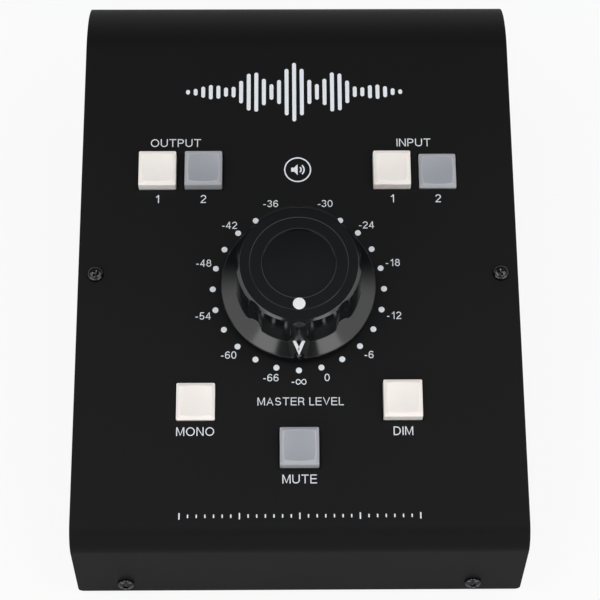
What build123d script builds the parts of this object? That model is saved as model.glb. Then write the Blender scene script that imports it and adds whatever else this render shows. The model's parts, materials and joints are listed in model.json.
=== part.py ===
"""Desktop monitor controller.

A folded steel cover with a sloping panel closes over a folded tray. A 24 position stepped attenuator
hangs under the panel and is turned by a skirted pointer knob, seven square push buttons work switches
on a board under the panel, and eight jack sockets on a second board come out through the rear wall.

Millimetres, +Z up. The controller stands on Z = 0 with its front towards -Y, and the origin is under
the middle of the whole object. Panel places are (u, v, h): u to the right, v up the slope and h out of
the panel, from the knob's centre on the panel's outer face.
"""

import os
from math import atan2, cos, degrees, pi, radians, sin, tan

from build123d import *

# Case
case_width = 160.0
case_depth = 222.9
front_height = 39.6  # up to where the front and the panel would meet if they weren't rounded
panel_slope = 11.8  # degrees
knob_from_front = 92.0
sheet = 1.5
front_bend = 9.5  # outside radius
rear_bend = 29.5  # outside radius
front_corner = 2.0
side_inset = 1.0  # the tray's side walls stand in from the cover's edges by this
sheet_gap = 0.2  # between the cover and the tray
tray_bend = 2.5
flange_width = 10.0
flange_ends = 12.0  # how far the side flanges stop short of the bends
lip_height = 13.0

# Fasteners
screw_radius = 1.45
screw_hole_radius = 1.65
screw_length = 7.0
head_radius = 3.0
head_top_radius = 2.2
head_height = 1.9
hex_head_width = 5.5  # across flats, on the inner screws
hex_head_height = 2.0
thread_gap = 0.05
side_screw_edge = 6.3  # from the cover's side edges
side_screw_v = 6.0
end_screw_edge = 17.6  # front and rear screws, from the cover's side edges
end_screw_height = 7.0  # above the tray's underside

# Feet
foot_height = 4.0
foot_radius = 8.5
foot_taper = 1.0
foot_edge_x = 18.0
foot_edge_y = 22.0

# Push buttons
cap_size = 14.0
cap_depth = 8.0
cap_corner = 0.7
cap_bevel = 1.5
cap_bevel_height = 0.8
cap_wall = 1.2
cap_top = 1.6
cap_height = 4.4  # above the panel, not pressed
cap_gap = 0.3  # all round, to the panel's cut-out
press_travel = 3.8
latch_travel = 3.0
post_size = 5.4
stem_size = 3.0
stem_reach = 2.5  # from a cap's top down to the stem's end
stem_fit = 0.05
slide_gap = 0.1
collar_size = 6.0
collar_height = 1.5

# Button places on the panel
select_row_v = 46.6
select_edge = 36.65  # from the cover's side edges to the middle of a pair
select_pitch = 17.0
mode_row_v = -42.6
mode_edge = 43.25  # from the cover's side edges
mute_v = -60.0

# Switches and their board
switch_size = 12.4
switch_height = 10.0
switch_lid = 1.5
switch_floor = 1.0
switch_clearance = 0.6  # between a pressed cap and its switch
chamber_gap = 0.4
board_thickness = 1.6
board_edge = 15.0  # from the cover's side edges
board_overhang = 12.0  # past the outermost switches
board_opening_gap = 3.0  # round the attenuator
standoff_width = 5.5  # across flats
standoff_inset = 5.0
pin_size = 0.8
pin_tail = 2.5
pin_pitch = 4.0
pin_rows = 8.0

# Attenuator
positions = 24
shaft_radius = 3.0
shaft_gap = 0.05
bush_radius = 5.0
bush_height = 6.5
bush_nut_width = 14.0  # across flats
bush_nut_height = 2.5
bush_washer_radius = 8.0
bush_washer_height = 0.6
bush_hole_gap = 0.1
plate_radius = 21.5
plate_thickness = 2.0
detent_radius = 16.0
detent_bore = 12.0
detent_length = 8.0
wheel_radius = 11.0
wheel_thickness = 4.0
notch_depth = 0.9
roller_radius = 1.2
roller_length = 3.0
roller_gap = 0.1
slot_gap = 0.1
spring_width = 1.4
spring_length = 1.6
deck_count = 2
deck_pitch = 10.0
deck_thickness = 1.6
deck_hole_gap = 0.6
wiper_hub_width = 9.0
wiper_hub_height = 3.0
wiper_gap = 0.3
wiper_reach = 12.0
wiper_width = 3.0
wiper_thickness = 0.6
resistor_length = 4.5
resistor_width = 1.6
resistor_height = 0.8
resistor_inner = 10.5
pillar_radius = 19.0  # from the shaft to the pillars
pillar_width = 4.0  # across flats

# Knob
knob_height = 26.0
knob_floor_gap = 0.8
skirt_radius = 28.0
skirt_rim = 4.0
flange_edge_radius = 27.6
flange_edge_height = 4.5
grip_base_radius = 22.5
grip_base_height = 5.8
grip_top_radius = 22.0
grip_bevel = 1.2
crown_radius = 17.5
crown_step = 0.3
flute_count = 8  # the pointer takes the place of one of them
flute_radius = 5.6
flute_depth = 1.6  # at the skirt
flute_top_depth = 0.8  # at the crown
pointer_half_width = 4.2
wedge_half_width = 5.2  # under the nose, before the draft
wedge_inset = 2.0  # into the grip
wedge_sink = 1.0  # into the skirt
pointer_height = 4.6  # above the skirt's rim
pointer_tip = 28.1
pointer_draft = 24.0
nose_proud = 0.5
nose_drop = 0.8  # from the crown
nose_round = 2.2
disc_radius = 12.9
disc_recess = 0.8
disc_thickness = 1.4
inlay_gap = 0.05
dot_radius = 2.25
dot_place = 15.15
dot_thickness = 0.6
skirt_wall = 2.4
skirt_recess = 3.2
grip_wall = 3.2
knob_roof = 5.0
boss_radius = 9.0
boss_start = 7.2
rib_width = 5.4
insert_radius = 6.5
insert_length = 13.0
set_screw_radius = 1.95
set_screw_length = 4.5
set_screw_height = 14.0
set_screw_hole_gap = 0.05

# Jack sockets and their board
jack_count = 8
jack_edge = 17.0  # from the cover's side edges to the outermost sockets
jack_height = 27.0  # above the tray's underside
jack_bore = 3.25
jack_bore_length = 31.0
jack_end_wall = 2.0
jack_width = 14.0
jack_body_height = 15.0
nose_radius = 4.7
nose_gap = 0.15
jack_nut_width = 12.6  # across flats
jack_nut_height = 2.2
nose_past_nut = 1.0
jack_board_edge = 6.0  # from the cover's side edges
jack_board_front = 10.0  # past the sockets' inner ends
jack_board_rear_gap = 1.0
jack_board_spacer_in = 7.0
header_width = 22.0
header_depth = 6.0
header_height = 6.0
ribbon_width = 18.0
ribbon_thickness = 1.0
ribbon_bend = 4.0
ribbon_drop = 8.0

# Places worked out from the sizes above
slope = radians(panel_slope)
underside = foot_height
rear_proud = jack_nut_height + nose_past_nut
y_front = -(head_height + case_depth + rear_proud) / 2 + head_height
y_rear = y_front + case_depth
knob_y = y_front + knob_from_front
panel = Plane(
    origin=(0, knob_y, underside + front_height + knob_from_front * tan(slope)),
    x_dir=(1, 0, 0),
    z_dir=(0, -sin(slope), cos(slope)),
)
inner_face = -sheet
switch_top = cap_height - cap_depth - press_travel - switch_clearance
board_top = switch_top - switch_height
board_half_width = case_width / 2 - board_edge
board_front_v = mute_v - switch_size / 2 - board_overhang
board_rear_v = select_row_v + switch_size / 2 + board_overhang
wall_x = case_width / 2 - side_inset
jack_z = underside + jack_height
jack_pitch = (case_width - 2 * jack_edge) / (jack_count - 1)
jack_face = y_rear - sheet
jack_board_top = jack_z - jack_body_height / 2
select_pair_u = case_width / 2 - select_edge
mode_u = case_width / 2 - mode_edge
detent_top = inner_face - plate_thickness
deck_start = detent_top - detent_length - deck_pitch + deck_thickness
rear_plate_top = deck_start - (deck_count - 1) * deck_pitch - deck_pitch

buttons = {
    "output_1": (-select_pair_u - select_pitch / 2, select_row_v),
    "output_2": (-select_pair_u + select_pitch / 2, select_row_v),
    "input_1": (select_pair_u - select_pitch / 2, select_row_v),
    "input_2": (select_pair_u + select_pitch / 2, select_row_v),
    "mono": (-mode_u, mode_row_v),
    "dim": (mode_u, mode_row_v),
    "mute": (0.0, mute_v),
}
latched = ("input_2", "mono")

UP = (Align.CENTER, Align.CENTER, Align.MIN)
DOWN = (Align.CENTER, Align.CENTER, Align.MAX)


def on_panel(u, v, h=0.0):
    """A place on the sloping panel, h above its outer face."""
    return panel.location * Pos(u, v, h)


def facing_front(x, z, y):
    """A place whose +Z points out of the case's front."""
    return Pos(x, y, z) * Rot(90, 0, 0)


def facing_rear(x, z, y):
    """A place whose +Z points out of the case's rear."""
    return Pos(x, y, z) * Rot(-90, 0, 0)


def group(solids):
    """Separate solids that share a node."""
    return Compound(children=list(solids))


# Fasteners


def pan_screw(length):
    """A pan-headed screw with its head on +Z; the head's underside is at the origin."""
    head = Cone(head_radius, head_top_radius, head_height, align=UP)
    return head + Cylinder(screw_radius, length, align=DOWN)


def hex_screw(length):
    """A hexagon-headed screw, placed as pan_screw is."""
    head = extrude(RegularPolygon(hex_head_width / 2, 6, major_radius=False), hex_head_height)
    return head + Cylinder(screw_radius, length, align=DOWN)


def hex_nut(width, height, bore):
    """A hexagon nut standing on the origin."""
    blank = extrude(RegularPolygon(width / 2, 6, major_radius=False), height)
    return blank - Cylinder(bore, 3 * height)


def washer(radius, bore, height):
    """A flat ring standing on the origin."""
    return Cylinder(radius, height, align=UP) - Cylinder(bore, 3 * height)


# Case


def side_profile(inset, bottom):
    """The cover's outline seen from the side, inset from its outer face, closed along the bottom."""
    front, rear = y_front + inset, y_rear - inset
    crown = underside + front_height - inset / cos(slope)
    corners = [
        (front, bottom),
        (front, crown + (front - y_front) * tan(slope)),
        (rear, crown + (rear - y_front) * tan(slope)),
        (rear, bottom),
    ]
    skin = FilletPolyline(*corners, radius=[front_bend - inset, rear_bend - inset])
    return Plane.YZ * make_face([skin, Line(corners[-1], corners[0])])


def side_screw_places():
    """The two screws that hold the panel down on the side flanges."""
    u = case_width / 2 - side_screw_edge
    return [on_panel(side * u, side_screw_v) for side in (-1, 1)]


def end_screw_places(facing, y):
    """The two screws through a lip of the tray."""
    x = case_width / 2 - end_screw_edge
    return [facing(side * x, underside + end_screw_height, y) for side in (-1, 1)]


def front_screw_places():
    return end_screw_places(facing_front, y_front)


def rear_screw_places():
    return end_screw_places(facing_rear, y_rear)


def foot_places():
    x, front, rear = case_width / 2 - foot_edge_x, y_front + foot_edge_y, y_rear - foot_edge_y
    return [Pos(side * x, y, 0) for side in (-1, 1) for y in (front, rear)]


def jack_places():
    """Each socket's place on the rear wall's inner face, pointing out of the rear."""
    first = -case_width / 2 + jack_edge
    return [facing_rear(first + i * jack_pitch, jack_z, jack_face) for i in range(jack_count)]


def top_cover():
    """Front, panel and rear wall folded from one sheet, with the openings in them."""
    half = case_width / 2
    cover = extrude(side_profile(0, underside), half, both=True)
    cover -= extrude(side_profile(sheet, underside - sheet), case_width, both=True)
    corners = cover.edges().filter_by(Axis.Y).group_by(Axis.Z)[0]
    cover = fillet(corners, front_corner)
    opening = cap_size + 2 * cap_gap
    square = Box(opening, opening, 4 * sheet)
    cutters = [on_panel(u, v) * square for u, v in buttons.values()]
    cutters.append(on_panel(0, 0) * Cylinder(bush_radius + bush_hole_gap, 4 * sheet))
    screw_hole = Cylinder(screw_hole_radius, 4 * sheet)
    for place in side_screw_places() + front_screw_places() + rear_screw_places():
        cutters.append(place * screw_hole)
    cutters += [place * Cylinder(nose_radius + nose_gap, 4 * sheet) for place in jack_places()]
    return cover - cutters


def flange_span():
    """How far the side flanges run along the panel, as (v of the front end, v of the rear end)."""
    front = (y_front + front_bend - knob_y) / cos(slope)
    rear = (y_rear - rear_bend - knob_y) / cos(slope)
    return front + flange_ends, rear - flange_ends


def base_tray():
    """Floor, side walls with flanges under the panel, and front and rear lips, from one sheet."""
    inset = sheet + sheet_gap
    tray = extrude(side_profile(inset, underside), wall_x, both=True)
    inside = 2 * (wall_x - sheet)
    tray -= Pos(0, 0, underside + sheet) * Box(inside, 2 * case_depth, 2 * case_depth, align=UP)
    bends = tray.edges().filter_by(Axis.Y).group_by(Axis.Z)[0]
    tray = fillet(bends, tray_bend)
    lip = Box(inside - 2 * sheet_gap, sheet, lip_height, align=UP)
    tray += Pos(0, y_front + inset + sheet / 2, underside) * lip
    tray += Pos(0, y_rear - inset - sheet / 2, underside) * lip
    v_front, v_rear = flange_span()
    strip = Box(flange_width, v_rear - v_front, sheet, align=DOWN)
    for side in (-1, 1):
        u = side * (wall_x - flange_width / 2)
        tray += on_panel(u, (v_front + v_rear) / 2, inner_face - sheet_gap) * strip
    tapped = Cylinder(screw_radius + thread_gap, 10 * sheet)
    places = side_screw_places() + front_screw_places() + rear_screw_places()
    return tray - [place * tapped for place in places]


def rubber_feet():
    """Tapered feet stuck under the tray's corners."""
    foot = Cone(foot_radius - foot_taper, foot_radius, foot_height, align=UP)
    return group(place * foot for place in foot_places())


# Push buttons and their switches


def button_drop(name):
    """How far a button stands below the height of a button that isn't latched."""
    return latch_travel if name in latched else 0.0


def cap(name):
    """A hollow square cap with a bevelled rim, and a post inside with a socket for its stem."""
    u, v = buttons[name]
    outline = RectangleRounded(cap_size, cap_size, cap_corner)
    face_size = cap_size - 2 * cap_bevel
    body = extrude(Pos(0, 0, -cap_depth) * outline, cap_depth - cap_bevel_height)
    rim = Pos(0, 0, -cap_bevel_height) * Rectangle(cap_size, cap_size)
    bevel = loft([rim, Rectangle(face_size, face_size)], ruled=True)
    body += bevel & extrude(Pos(0, 0, -cap_depth) * outline, cap_depth)
    inside = cap_size - 2 * cap_wall
    hollow = Box(inside, inside, cap_depth, align=DOWN)
    hollow -= Box(post_size, post_size, 3 * cap_depth)
    body -= Pos(0, 0, -cap_top) * hollow
    socket = stem_size + 2 * stem_fit
    body -= Pos(0, 0, -stem_reach + stem_fit) * Box(socket, socket, cap_depth, align=DOWN)
    return on_panel(u, v, cap_height - button_drop(name)) * body


def plunger(name):
    """The stem between a cap and its switch, with the collar that keeps it in the switch."""
    u, v = buttons[name]
    collar_top = switch_top - switch_lid - slide_gap
    stem_end = cap_height - stem_reach
    stem = Pos(0, 0, stem_end) * Box(stem_size, stem_size, stem_end - collar_top, align=DOWN)
    collar = Pos(0, 0, collar_top) * Box(collar_size, collar_size, collar_height, align=DOWN)
    return on_panel(u, v, -button_drop(name)) * (stem + collar)


def switch_bodies():
    """The moulded cases of the seven switches, each open where its stem goes in."""
    case = Box(switch_size, switch_size, switch_height, align=DOWN)
    throat = stem_size + 2 * slide_gap
    case -= Box(throat, throat, 2 * switch_lid, align=DOWN)
    chamber = collar_size + 2 * chamber_gap
    depth = switch_height - switch_lid - switch_floor
    case -= Pos(0, 0, -switch_lid) * Box(chamber, chamber, depth, align=DOWN)
    return group(on_panel(u, v, switch_top) * case for u, v in buttons.values())


def switch_pins():
    """Six legs under each switch, through the board."""
    leg = Box(pin_size, pin_size, board_thickness + pin_tail, align=DOWN)
    legs = [
        (side * pin_rows / 2, row * pin_pitch) for side in (-1, 1) for row in (-1, 0, 1)
    ]
    places = [(u + du, v + dv) for u, v in buttons.values() for du, dv in legs]
    return group(on_panel(u, v, board_top) * leg for u, v in places)


def standoff_places():
    """The four corners where the switch board hangs from the panel, as (u, v)."""
    u = board_half_width - standoff_inset
    ends = (board_front_v + standoff_inset, board_rear_v - standoff_inset)
    return [(side * u, v) for side in (-1, 1) for v in ends]


def switch_board():
    """The board under the panel, with an opening for the attenuator and holes for legs and screws."""
    length = board_rear_v - board_front_v
    board = Box(2 * board_half_width, length, board_thickness, align=DOWN)
    board = on_panel(0, (board_rear_v + board_front_v) / 2, board_top) * board
    opening = Cylinder(plate_radius + board_opening_gap, 4 * board_thickness)
    cutters = [on_panel(0, 0, board_top) * opening]
    screw_hole = Cylinder(screw_hole_radius, 4 * board_thickness)
    cutters += [on_panel(u, v, board_top) * screw_hole for u, v in standoff_places()]
    slot = Box(pin_size + 2 * stem_fit, 2 * pin_pitch + 2 * pin_size, 4 * board_thickness)
    for u, v in buttons.values():
        cutters += [on_panel(u + side * pin_rows / 2, v, board_top) * slot for side in (-1, 1)]
    return board - cutters


def board_standoffs():
    """Hexagon pillars pressed into the panel from below, tapped for the board's screws."""
    length = inner_face - board_top
    pillar = extrude(RegularPolygon(standoff_width / 2, 6, major_radius=False), length)
    pillar -= Cylinder(screw_radius + thread_gap, 2 * screw_length)
    return group(on_panel(u, v, board_top) * pillar for u, v in standoff_places())


def board_screws():
    screw = Rot(180, 0, 0) * hex_screw(screw_length)
    height = board_top - board_thickness
    return group(on_panel(u, v, height) * screw for u, v in standoff_places())


# Attenuator


def shaft_bore(depth):
    return Cylinder(shaft_radius + shaft_gap, depth)


def attenuator_bushing():
    """The mounting plate with its threaded bush."""
    plate = Cylinder(plate_radius, plate_thickness, align=DOWN)
    plate += Cylinder(bush_radius, bush_height - inner_face, align=UP)
    return on_panel(0, 0, inner_face) * (plate - shaft_bore(4 * bush_height))


def bush_washer():
    ring = washer(bush_washer_radius, bush_radius + bush_hole_gap, bush_washer_height)
    return on_panel(0, 0) * ring


def bush_nut():
    nut = hex_nut(bush_nut_width, bush_nut_height, bush_radius + thread_gap)
    return on_panel(0, 0, bush_washer_height) * nut


def roller_places():
    """Where the detent rollers sit, with +Y pointing outwards from the shaft."""
    middle = detent_top - detent_length / 2
    radius = wheel_radius + roller_gap + roller_radius
    return [on_panel(0, 0, middle) * Rot(0, 0, turn) * Pos(0, radius, 0) for turn in (0, 180)]


def detent_housing():
    """The ring round the detent wheel, with a slot for each roller and its spring."""
    ring = washer(detent_radius, detent_bore, detent_length)
    ring = on_panel(0, 0, detent_top - detent_length) * ring
    width, height = 2 * (roller_radius + slot_gap), roller_length + 2 * slot_gap
    slot = Box(width, 2 * (roller_radius + spring_length), height)
    return ring - [place * slot for place in roller_places()]


def detent_rollers():
    roller = Cylinder(roller_radius, roller_length)
    return group(place * roller for place in roller_places())


def detent_springs():
    """The short springs behind the rollers, as closed blocks of their outer size."""
    spring = Box(spring_width, spring_length, spring_width, align=(Align.CENTER, Align.MIN, Align.CENTER))
    return group(place * Pos(0, roller_radius, 0) * spring for place in roller_places())


def detent_wheel():
    """The star wheel on the shaft, with a notch between teeth for each position."""
    step = pi / positions
    corners = [
        (radius * sin(turn * step), radius * cos(turn * step))
        for turn in range(2 * positions)
        for radius in [wheel_radius - notch_depth * (turn % 2 == 0)]
    ]
    star = make_face(Polyline(*corners, close=True)) - Circle(shaft_radius + shaft_gap)
    middle = detent_top - detent_length / 2
    return on_panel(0, 0, middle) * extrude(star, wheel_thickness / 2, both=True)


def deck_heights():
    """Heights of the decks' upper faces."""
    return [deck_start - i * deck_pitch for i in range(deck_count)]


def attenuator_decks():
    """Round boards that carry the contacts and resistors of one channel each."""
    deck = Cylinder(plate_radius, deck_thickness, align=DOWN)
    deck -= Cylinder(shaft_radius + deck_hole_gap, 4 * deck_thickness)
    return group(on_panel(0, 0, h) * deck for h in deck_heights())


def attenuator_resistors():
    """A ring of chip resistors under each deck, one between each two positions."""
    chip = Pos(resistor_inner, 0, 0) * Box(
        resistor_length, resistor_width, resistor_height, align=(Align.MIN, Align.CENTER, Align.MAX)
    )
    turns = [360 / positions * (i + 0.5) for i in range(positions - 1)]
    return group(
        on_panel(0, 0, h - deck_thickness) * Rot(0, 0, turn) * chip
        for h in deck_heights()
        for turn in turns
    )


def wipers():
    """The hubs on the shaft, each with an arm that sweeps its deck's contacts."""
    hub = Box(wiper_hub_width, wiper_hub_width, wiper_hub_height, align=UP)
    arm = Box(wiper_width, wiper_reach, wiper_thickness, align=(Align.CENTER, Align.MAX, Align.MIN))
    rotor = hub + arm - shaft_bore(4 * wiper_hub_height)
    return group(on_panel(0, 0, h + wiper_gap) * rotor for h in deck_heights())


def attenuator_rear_plate():
    """The plate at the far end, which carries the shaft's end."""
    plate = Cylinder(plate_radius, plate_thickness, align=DOWN) - shaft_bore(4 * plate_thickness)
    return on_panel(0, 0, rear_plate_top) * plate


def deck_pillars():
    """Hexagon pillars that space the mounting plate, the decks and the rear plate."""
    tops = [detent_top] + [h - deck_thickness for h in deck_heights()]
    ends = deck_heights() + [rear_plate_top]
    hexagon = RegularPolygon(pillar_width / 2, 6, major_radius=False)
    return group(
        on_panel(side * pillar_radius, 0, end) * extrude(hexagon, top - end)
        for top, end in zip(tops, ends)
        for side in (-1, 1)
    )


def attenuator_shaft():
    """The shaft, from inside the knob's insert down to the rear plate."""
    top = boss_start + insert_length
    bottom = rear_plate_top - plate_thickness
    return on_panel(0, 0, top) * Cylinder(shaft_radius, top - bottom, align=DOWN)


# Knob


def grip():
    """The tapered grip with its bevel and raised crown, and flutes that get shallower upwards."""
    shoulder = knob_height - crown_step
    outline = Polyline(
        (0, skirt_rim),
        (grip_base_radius, skirt_rim),
        (grip_base_radius, grip_base_height),
        (grip_top_radius, shoulder - grip_bevel),
        (grip_top_radius - grip_bevel, shoulder),
        (crown_radius, shoulder),
        (crown_radius, knob_height),
        (0, knob_height),
        close=True,
    )
    body = revolve(Plane.XZ * make_face(outline), Axis.Z)
    lean = grip_base_radius - flute_depth - (grip_top_radius - flute_top_depth)
    taper = atan2(lean, shoulder - grip_base_height)
    flute = Rot(-degrees(taper), 0, 0) * Cylinder(flute_radius, 4 * knob_height)
    flute = Pos(0, -grip_base_radius - flute_radius + flute_depth, grip_base_height) * flute
    return body - [Rot(0, 0, 360 / flute_count * i) * flute for i in range(1, flute_count)]


def skirt():
    """The round skirt, with a short rim and a shallow cone that rises to the grip."""
    rise = (grip_base_height - flange_edge_height) / (flange_edge_radius - grip_base_radius)
    inner = grip_base_radius - flute_depth - 1
    outline = Polyline(
        (0, knob_floor_gap),
        (skirt_radius, knob_floor_gap),
        (skirt_radius, skirt_rim),
        (flange_edge_radius, flange_edge_height),
        (inner, flange_edge_height + rise * (flange_edge_radius - inner)),
        (0, flange_edge_height + rise * (flange_edge_radius - inner)),
        close=True,
    )
    return revolve(Plane.XZ * make_face(outline), Axis.Z)


def pointer():
    """The nose on the grip's front and the wedge that runs from it to the skirt's edge."""
    nose_top = knob_height - nose_drop
    front_low, front_high = -grip_base_radius - nose_proud, -grip_top_radius - nose_proud
    side = Polyline(
        (-boss_radius, skirt_rim),
        (front_low, skirt_rim),
        (front_high, nose_top),
        (-boss_radius, nose_top),
        close=True,
    )
    section = make_face(side)
    brow = section.vertices().sort_by_distance((front_high, nose_top))[0]
    nose = extrude(Plane.YZ * fillet(brow, nose_round), pointer_half_width, both=True)
    plan = Polyline(
        (-wedge_half_width, wedge_inset - grip_base_radius),
        (0, -pointer_tip),
        (wedge_half_width, wedge_inset - grip_base_radius),
        close=True,
    )
    foot = Plane.XY.offset(skirt_rim - wedge_sink) * make_face(plan)
    return nose + extrude(foot, wedge_sink + pointer_height, taper=pointer_draft)


def knob_hollow():
    """The space under the knob: inside the skirt, round the bush's nut and between the ribs."""
    inner = grip_base_radius - flute_depth - grip_wall
    roof = knob_height - knob_roof
    space = Cylinder(skirt_radius - skirt_wall, skirt_recess, align=UP)
    space += Cylinder(inner, boss_start, align=UP)
    ring = Cylinder(inner, roof, align=UP) - Cylinder(boss_radius, 3 * roof)
    for turn in (0, 90):
        ring -= Pos(0, 0, boss_start) * Rot(0, 0, turn) * Box(rib_width, 2 * inner, roof, align=UP)
    return space + ring


def along_set_screw():
    """The radial place of the set screw, on the rib at the knob's right."""
    return Pos(0, 0, set_screw_height) * Rot(0, 90, 0)


def knob_body():
    """The moulded knob: skirt, fluted grip and pointer, hollow underneath."""
    body = grip() + skirt() + pointer()
    body -= knob_hollow()
    body -= Pos(0, 0, boss_start) * Cylinder(insert_radius + inlay_gap, insert_length, align=UP)
    seat = disc_recess + disc_thickness
    body -= Pos(0, 0, knob_height) * Cylinder(disc_radius + inlay_gap, seat, align=DOWN)
    dot = Cylinder(dot_radius + inlay_gap, dot_thickness, align=DOWN)
    body -= Pos(0, -dot_place, knob_height) * dot
    access = Cylinder(set_screw_radius + set_screw_hole_gap, grip_base_radius, align=UP)
    return on_panel(0, 0) * (body - along_set_screw() * access)


def knob_top_disc():
    """The disc set into the knob's crown."""
    disc = Cylinder(disc_radius, disc_thickness, align=DOWN)
    return on_panel(0, 0, knob_height - disc_recess) * disc


def knob_marker_dot():
    dot = Cylinder(dot_radius, dot_thickness, align=DOWN)
    return on_panel(0, -dot_place, knob_height) * dot


def knob_insert():
    """The brass insert that the set screw goes through to grip the shaft."""
    body = Pos(0, 0, boss_start) * Cylinder(insert_radius, insert_length, align=UP)
    tapped = Cylinder(set_screw_radius + set_screw_hole_gap, grip_base_radius, align=UP)
    return on_panel(0, 0) * (body - shaft_bore(4 * knob_height) - along_set_screw() * tapped)


def knob_set_screw():
    start = shaft_radius + shaft_gap
    screw = Pos(0, 0, start) * Cylinder(set_screw_radius, set_screw_length, align=UP)
    return on_panel(0, 0) * along_set_screw() * screw


# Jack sockets


def jack_sockets():
    """Moulded sockets with a threaded nose, bored for a 6.35 mm plug."""
    nose_length = sheet + rear_proud
    depth = jack_bore_length - nose_length + jack_end_wall
    body = Box(jack_width, jack_body_height, depth, align=DOWN)
    body += Cylinder(nose_radius, nose_length, align=UP)
    bore = Cylinder(jack_bore, jack_bore_length, align=DOWN)
    body -= Pos(0, 0, nose_length) * bore
    return group(place * body for place in jack_places())


def jack_nuts():
    nut = hex_nut(jack_nut_width, jack_nut_height, nose_radius + thread_gap)
    return group(place * Pos(0, 0, sheet) * nut for place in jack_places())


def jack_board_span():
    """The jack board's front and rear edges, as Y values."""
    inner_end = jack_face - (jack_bore_length - sheet - rear_proud + jack_end_wall)
    return inner_end - jack_board_front, jack_face - jack_board_rear_gap - 2 * sheet


def jack_leg_places():
    """Three legs under each socket, as (x, y): two beside the tip and one near the rear wall."""
    first = -case_width / 2 + jack_edge
    near, far = jack_face - jack_bore_length / 4, jack_face - jack_bore_length * 3 / 4
    legs = [(-jack_width / 4, far), (jack_width / 4, far), (0, near)]
    return [(first + i * jack_pitch + dx, y) for i in range(jack_count) for dx, y in legs]


def jack_pins():
    leg = Box(pin_size, pin_size, board_thickness + pin_tail, align=DOWN)
    return group(Pos(x, y, jack_board_top) * leg for x, y in jack_leg_places())


def jack_board_spacer_places():
    """The two pillars that hold the jack board's front edge, as (x, y)."""
    x = case_width / 2 - jack_board_edge - jack_board_spacer_in
    return [(side * x, jack_board_span()[0] + jack_board_spacer_in) for side in (-1, 1)]


def jack_board():
    front, rear = jack_board_span()
    width = case_width - 2 * jack_board_edge
    board = Pos(0, (front + rear) / 2, jack_board_top) * Box(
        width, rear - front, board_thickness, align=DOWN
    )
    screw_hole = Cylinder(screw_hole_radius, 4 * board_thickness)
    board -= [Pos(x, y, jack_board_top) * screw_hole for x, y in jack_board_spacer_places()]
    hole = Box(pin_size + 2 * stem_fit, pin_size + 2 * stem_fit, 4 * board_thickness)
    return board - [Pos(x, y, jack_board_top) * hole for x, y in jack_leg_places()]


def jack_board_spacers():
    """Hexagon pillars between the tray's floor and the jack board."""
    floor = underside + sheet
    length = jack_board_top - board_thickness - floor
    pillar = extrude(RegularPolygon(standoff_width / 2, 6, major_radius=False), length)
    pillar -= Pos(0, 0, length) * Cylinder(screw_radius + thread_gap, 2 * screw_length)
    return group(Pos(x, y, floor) * pillar for x, y in jack_board_spacer_places())


def jack_board_screws():
    screw = hex_screw(screw_length)
    return group(Pos(x, y, jack_board_top) * screw for x, y in jack_board_spacer_places())


# Wiring


def header_places():
    """The ribbon's two headers, each standing on its board: below the switch board's rear edge
    and on the jack board's front edge."""
    upper = on_panel(0, board_rear_v - header_depth, board_top - board_thickness) * Rot(180, 0, 0)
    lower = Pos(0, jack_board_span()[0] + header_depth, jack_board_top)
    return [upper, lower]


def board_headers():
    block = Box(header_width, header_depth, header_height, align=UP)
    return group(place * block for place in header_places())


def ribbon_cable():
    """The flat cable from the switch board's header down to the jack board's header."""
    upper, lower = [place * Pos(0, 0, header_height) for place in header_places()]
    bend = upper * Pos(0, 0, ribbon_drop)
    start, turn, end = upper.position, bend.position, lower.position
    route = FilletPolyline(
        (start.X, start.Y, start.Z),
        (turn.X, turn.Y, turn.Z),
        (end.X, end.Y, turn.Z),
        (end.X, end.Y, end.Z),
        radius=ribbon_bend,
    )
    section = Plane(start, x_dir=(1, 0, 0), z_dir=route % 0) * Rectangle(
        ribbon_width, ribbon_thickness
    )
    return sweep(section, path=route)


def nodes():
    """Every sub-part by its node name."""
    screw = pan_screw(screw_length)
    made = {
        "top_cover": top_cover(),
        "base_tray": base_tray(),
        "cover_side_screws": group(place * screw for place in side_screw_places()),
        "cover_front_screws": group(place * screw for place in front_screw_places()),
        "cover_rear_screws": group(place * screw for place in rear_screw_places()),
        "rubber_feet": rubber_feet(),
        "switch_board": switch_board(),
        "switch_bodies": switch_bodies(),
        "switch_pins": switch_pins(),
        "board_standoffs": board_standoffs(),
        "board_screws": board_screws(),
        "attenuator_bushing": attenuator_bushing(),
        "bush_washer": bush_washer(),
        "bush_nut": bush_nut(),
        "detent_housing": detent_housing(),
        "detent_rollers": detent_rollers(),
        "detent_springs": detent_springs(),
        "detent_wheel": detent_wheel(),
        "attenuator_decks": attenuator_decks(),
        "attenuator_resistors": attenuator_resistors(),
        "attenuator_wipers": wipers(),
        "deck_pillars": deck_pillars(),
        "attenuator_rear_plate": attenuator_rear_plate(),
        "attenuator_shaft": attenuator_shaft(),
        "knob_body": knob_body(),
        "knob_top_disc": knob_top_disc(),
        "knob_marker_dot": knob_marker_dot(),
        "knob_insert": knob_insert(),
        "knob_set_screw": knob_set_screw(),
        "jack_sockets": jack_sockets(),
        "jack_nuts": jack_nuts(),
        "jack_pins": jack_pins(),
        "jack_board": jack_board(),
        "jack_board_spacers": jack_board_spacers(),
        "jack_board_screws": jack_board_screws(),
        "board_headers": board_headers(),
        "ribbon_cable": ribbon_cable(),
    }
    for name in buttons:
        made[f"{name}_cap"] = cap(name)
        made[f"{name}_plunger"] = plunger(name)
    return made


if __name__ == "__main__":
    os.makedirs("parts", exist_ok=True)
    for name, shape in nodes().items():
        export_step(shape, f"parts/{name}.step")
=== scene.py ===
"""Desktop monitor controller: the finished surfaces, the printing and the studio.

The solid parts come from the frame, in metres, with the controller standing on Z = 0 and its front
towards -Y. Panel places are (u, v, h): u to the right, v up the slope and h out of the panel, from the
knob's centre on the panel's outer face.
"""

import json
from functools import partial

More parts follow.
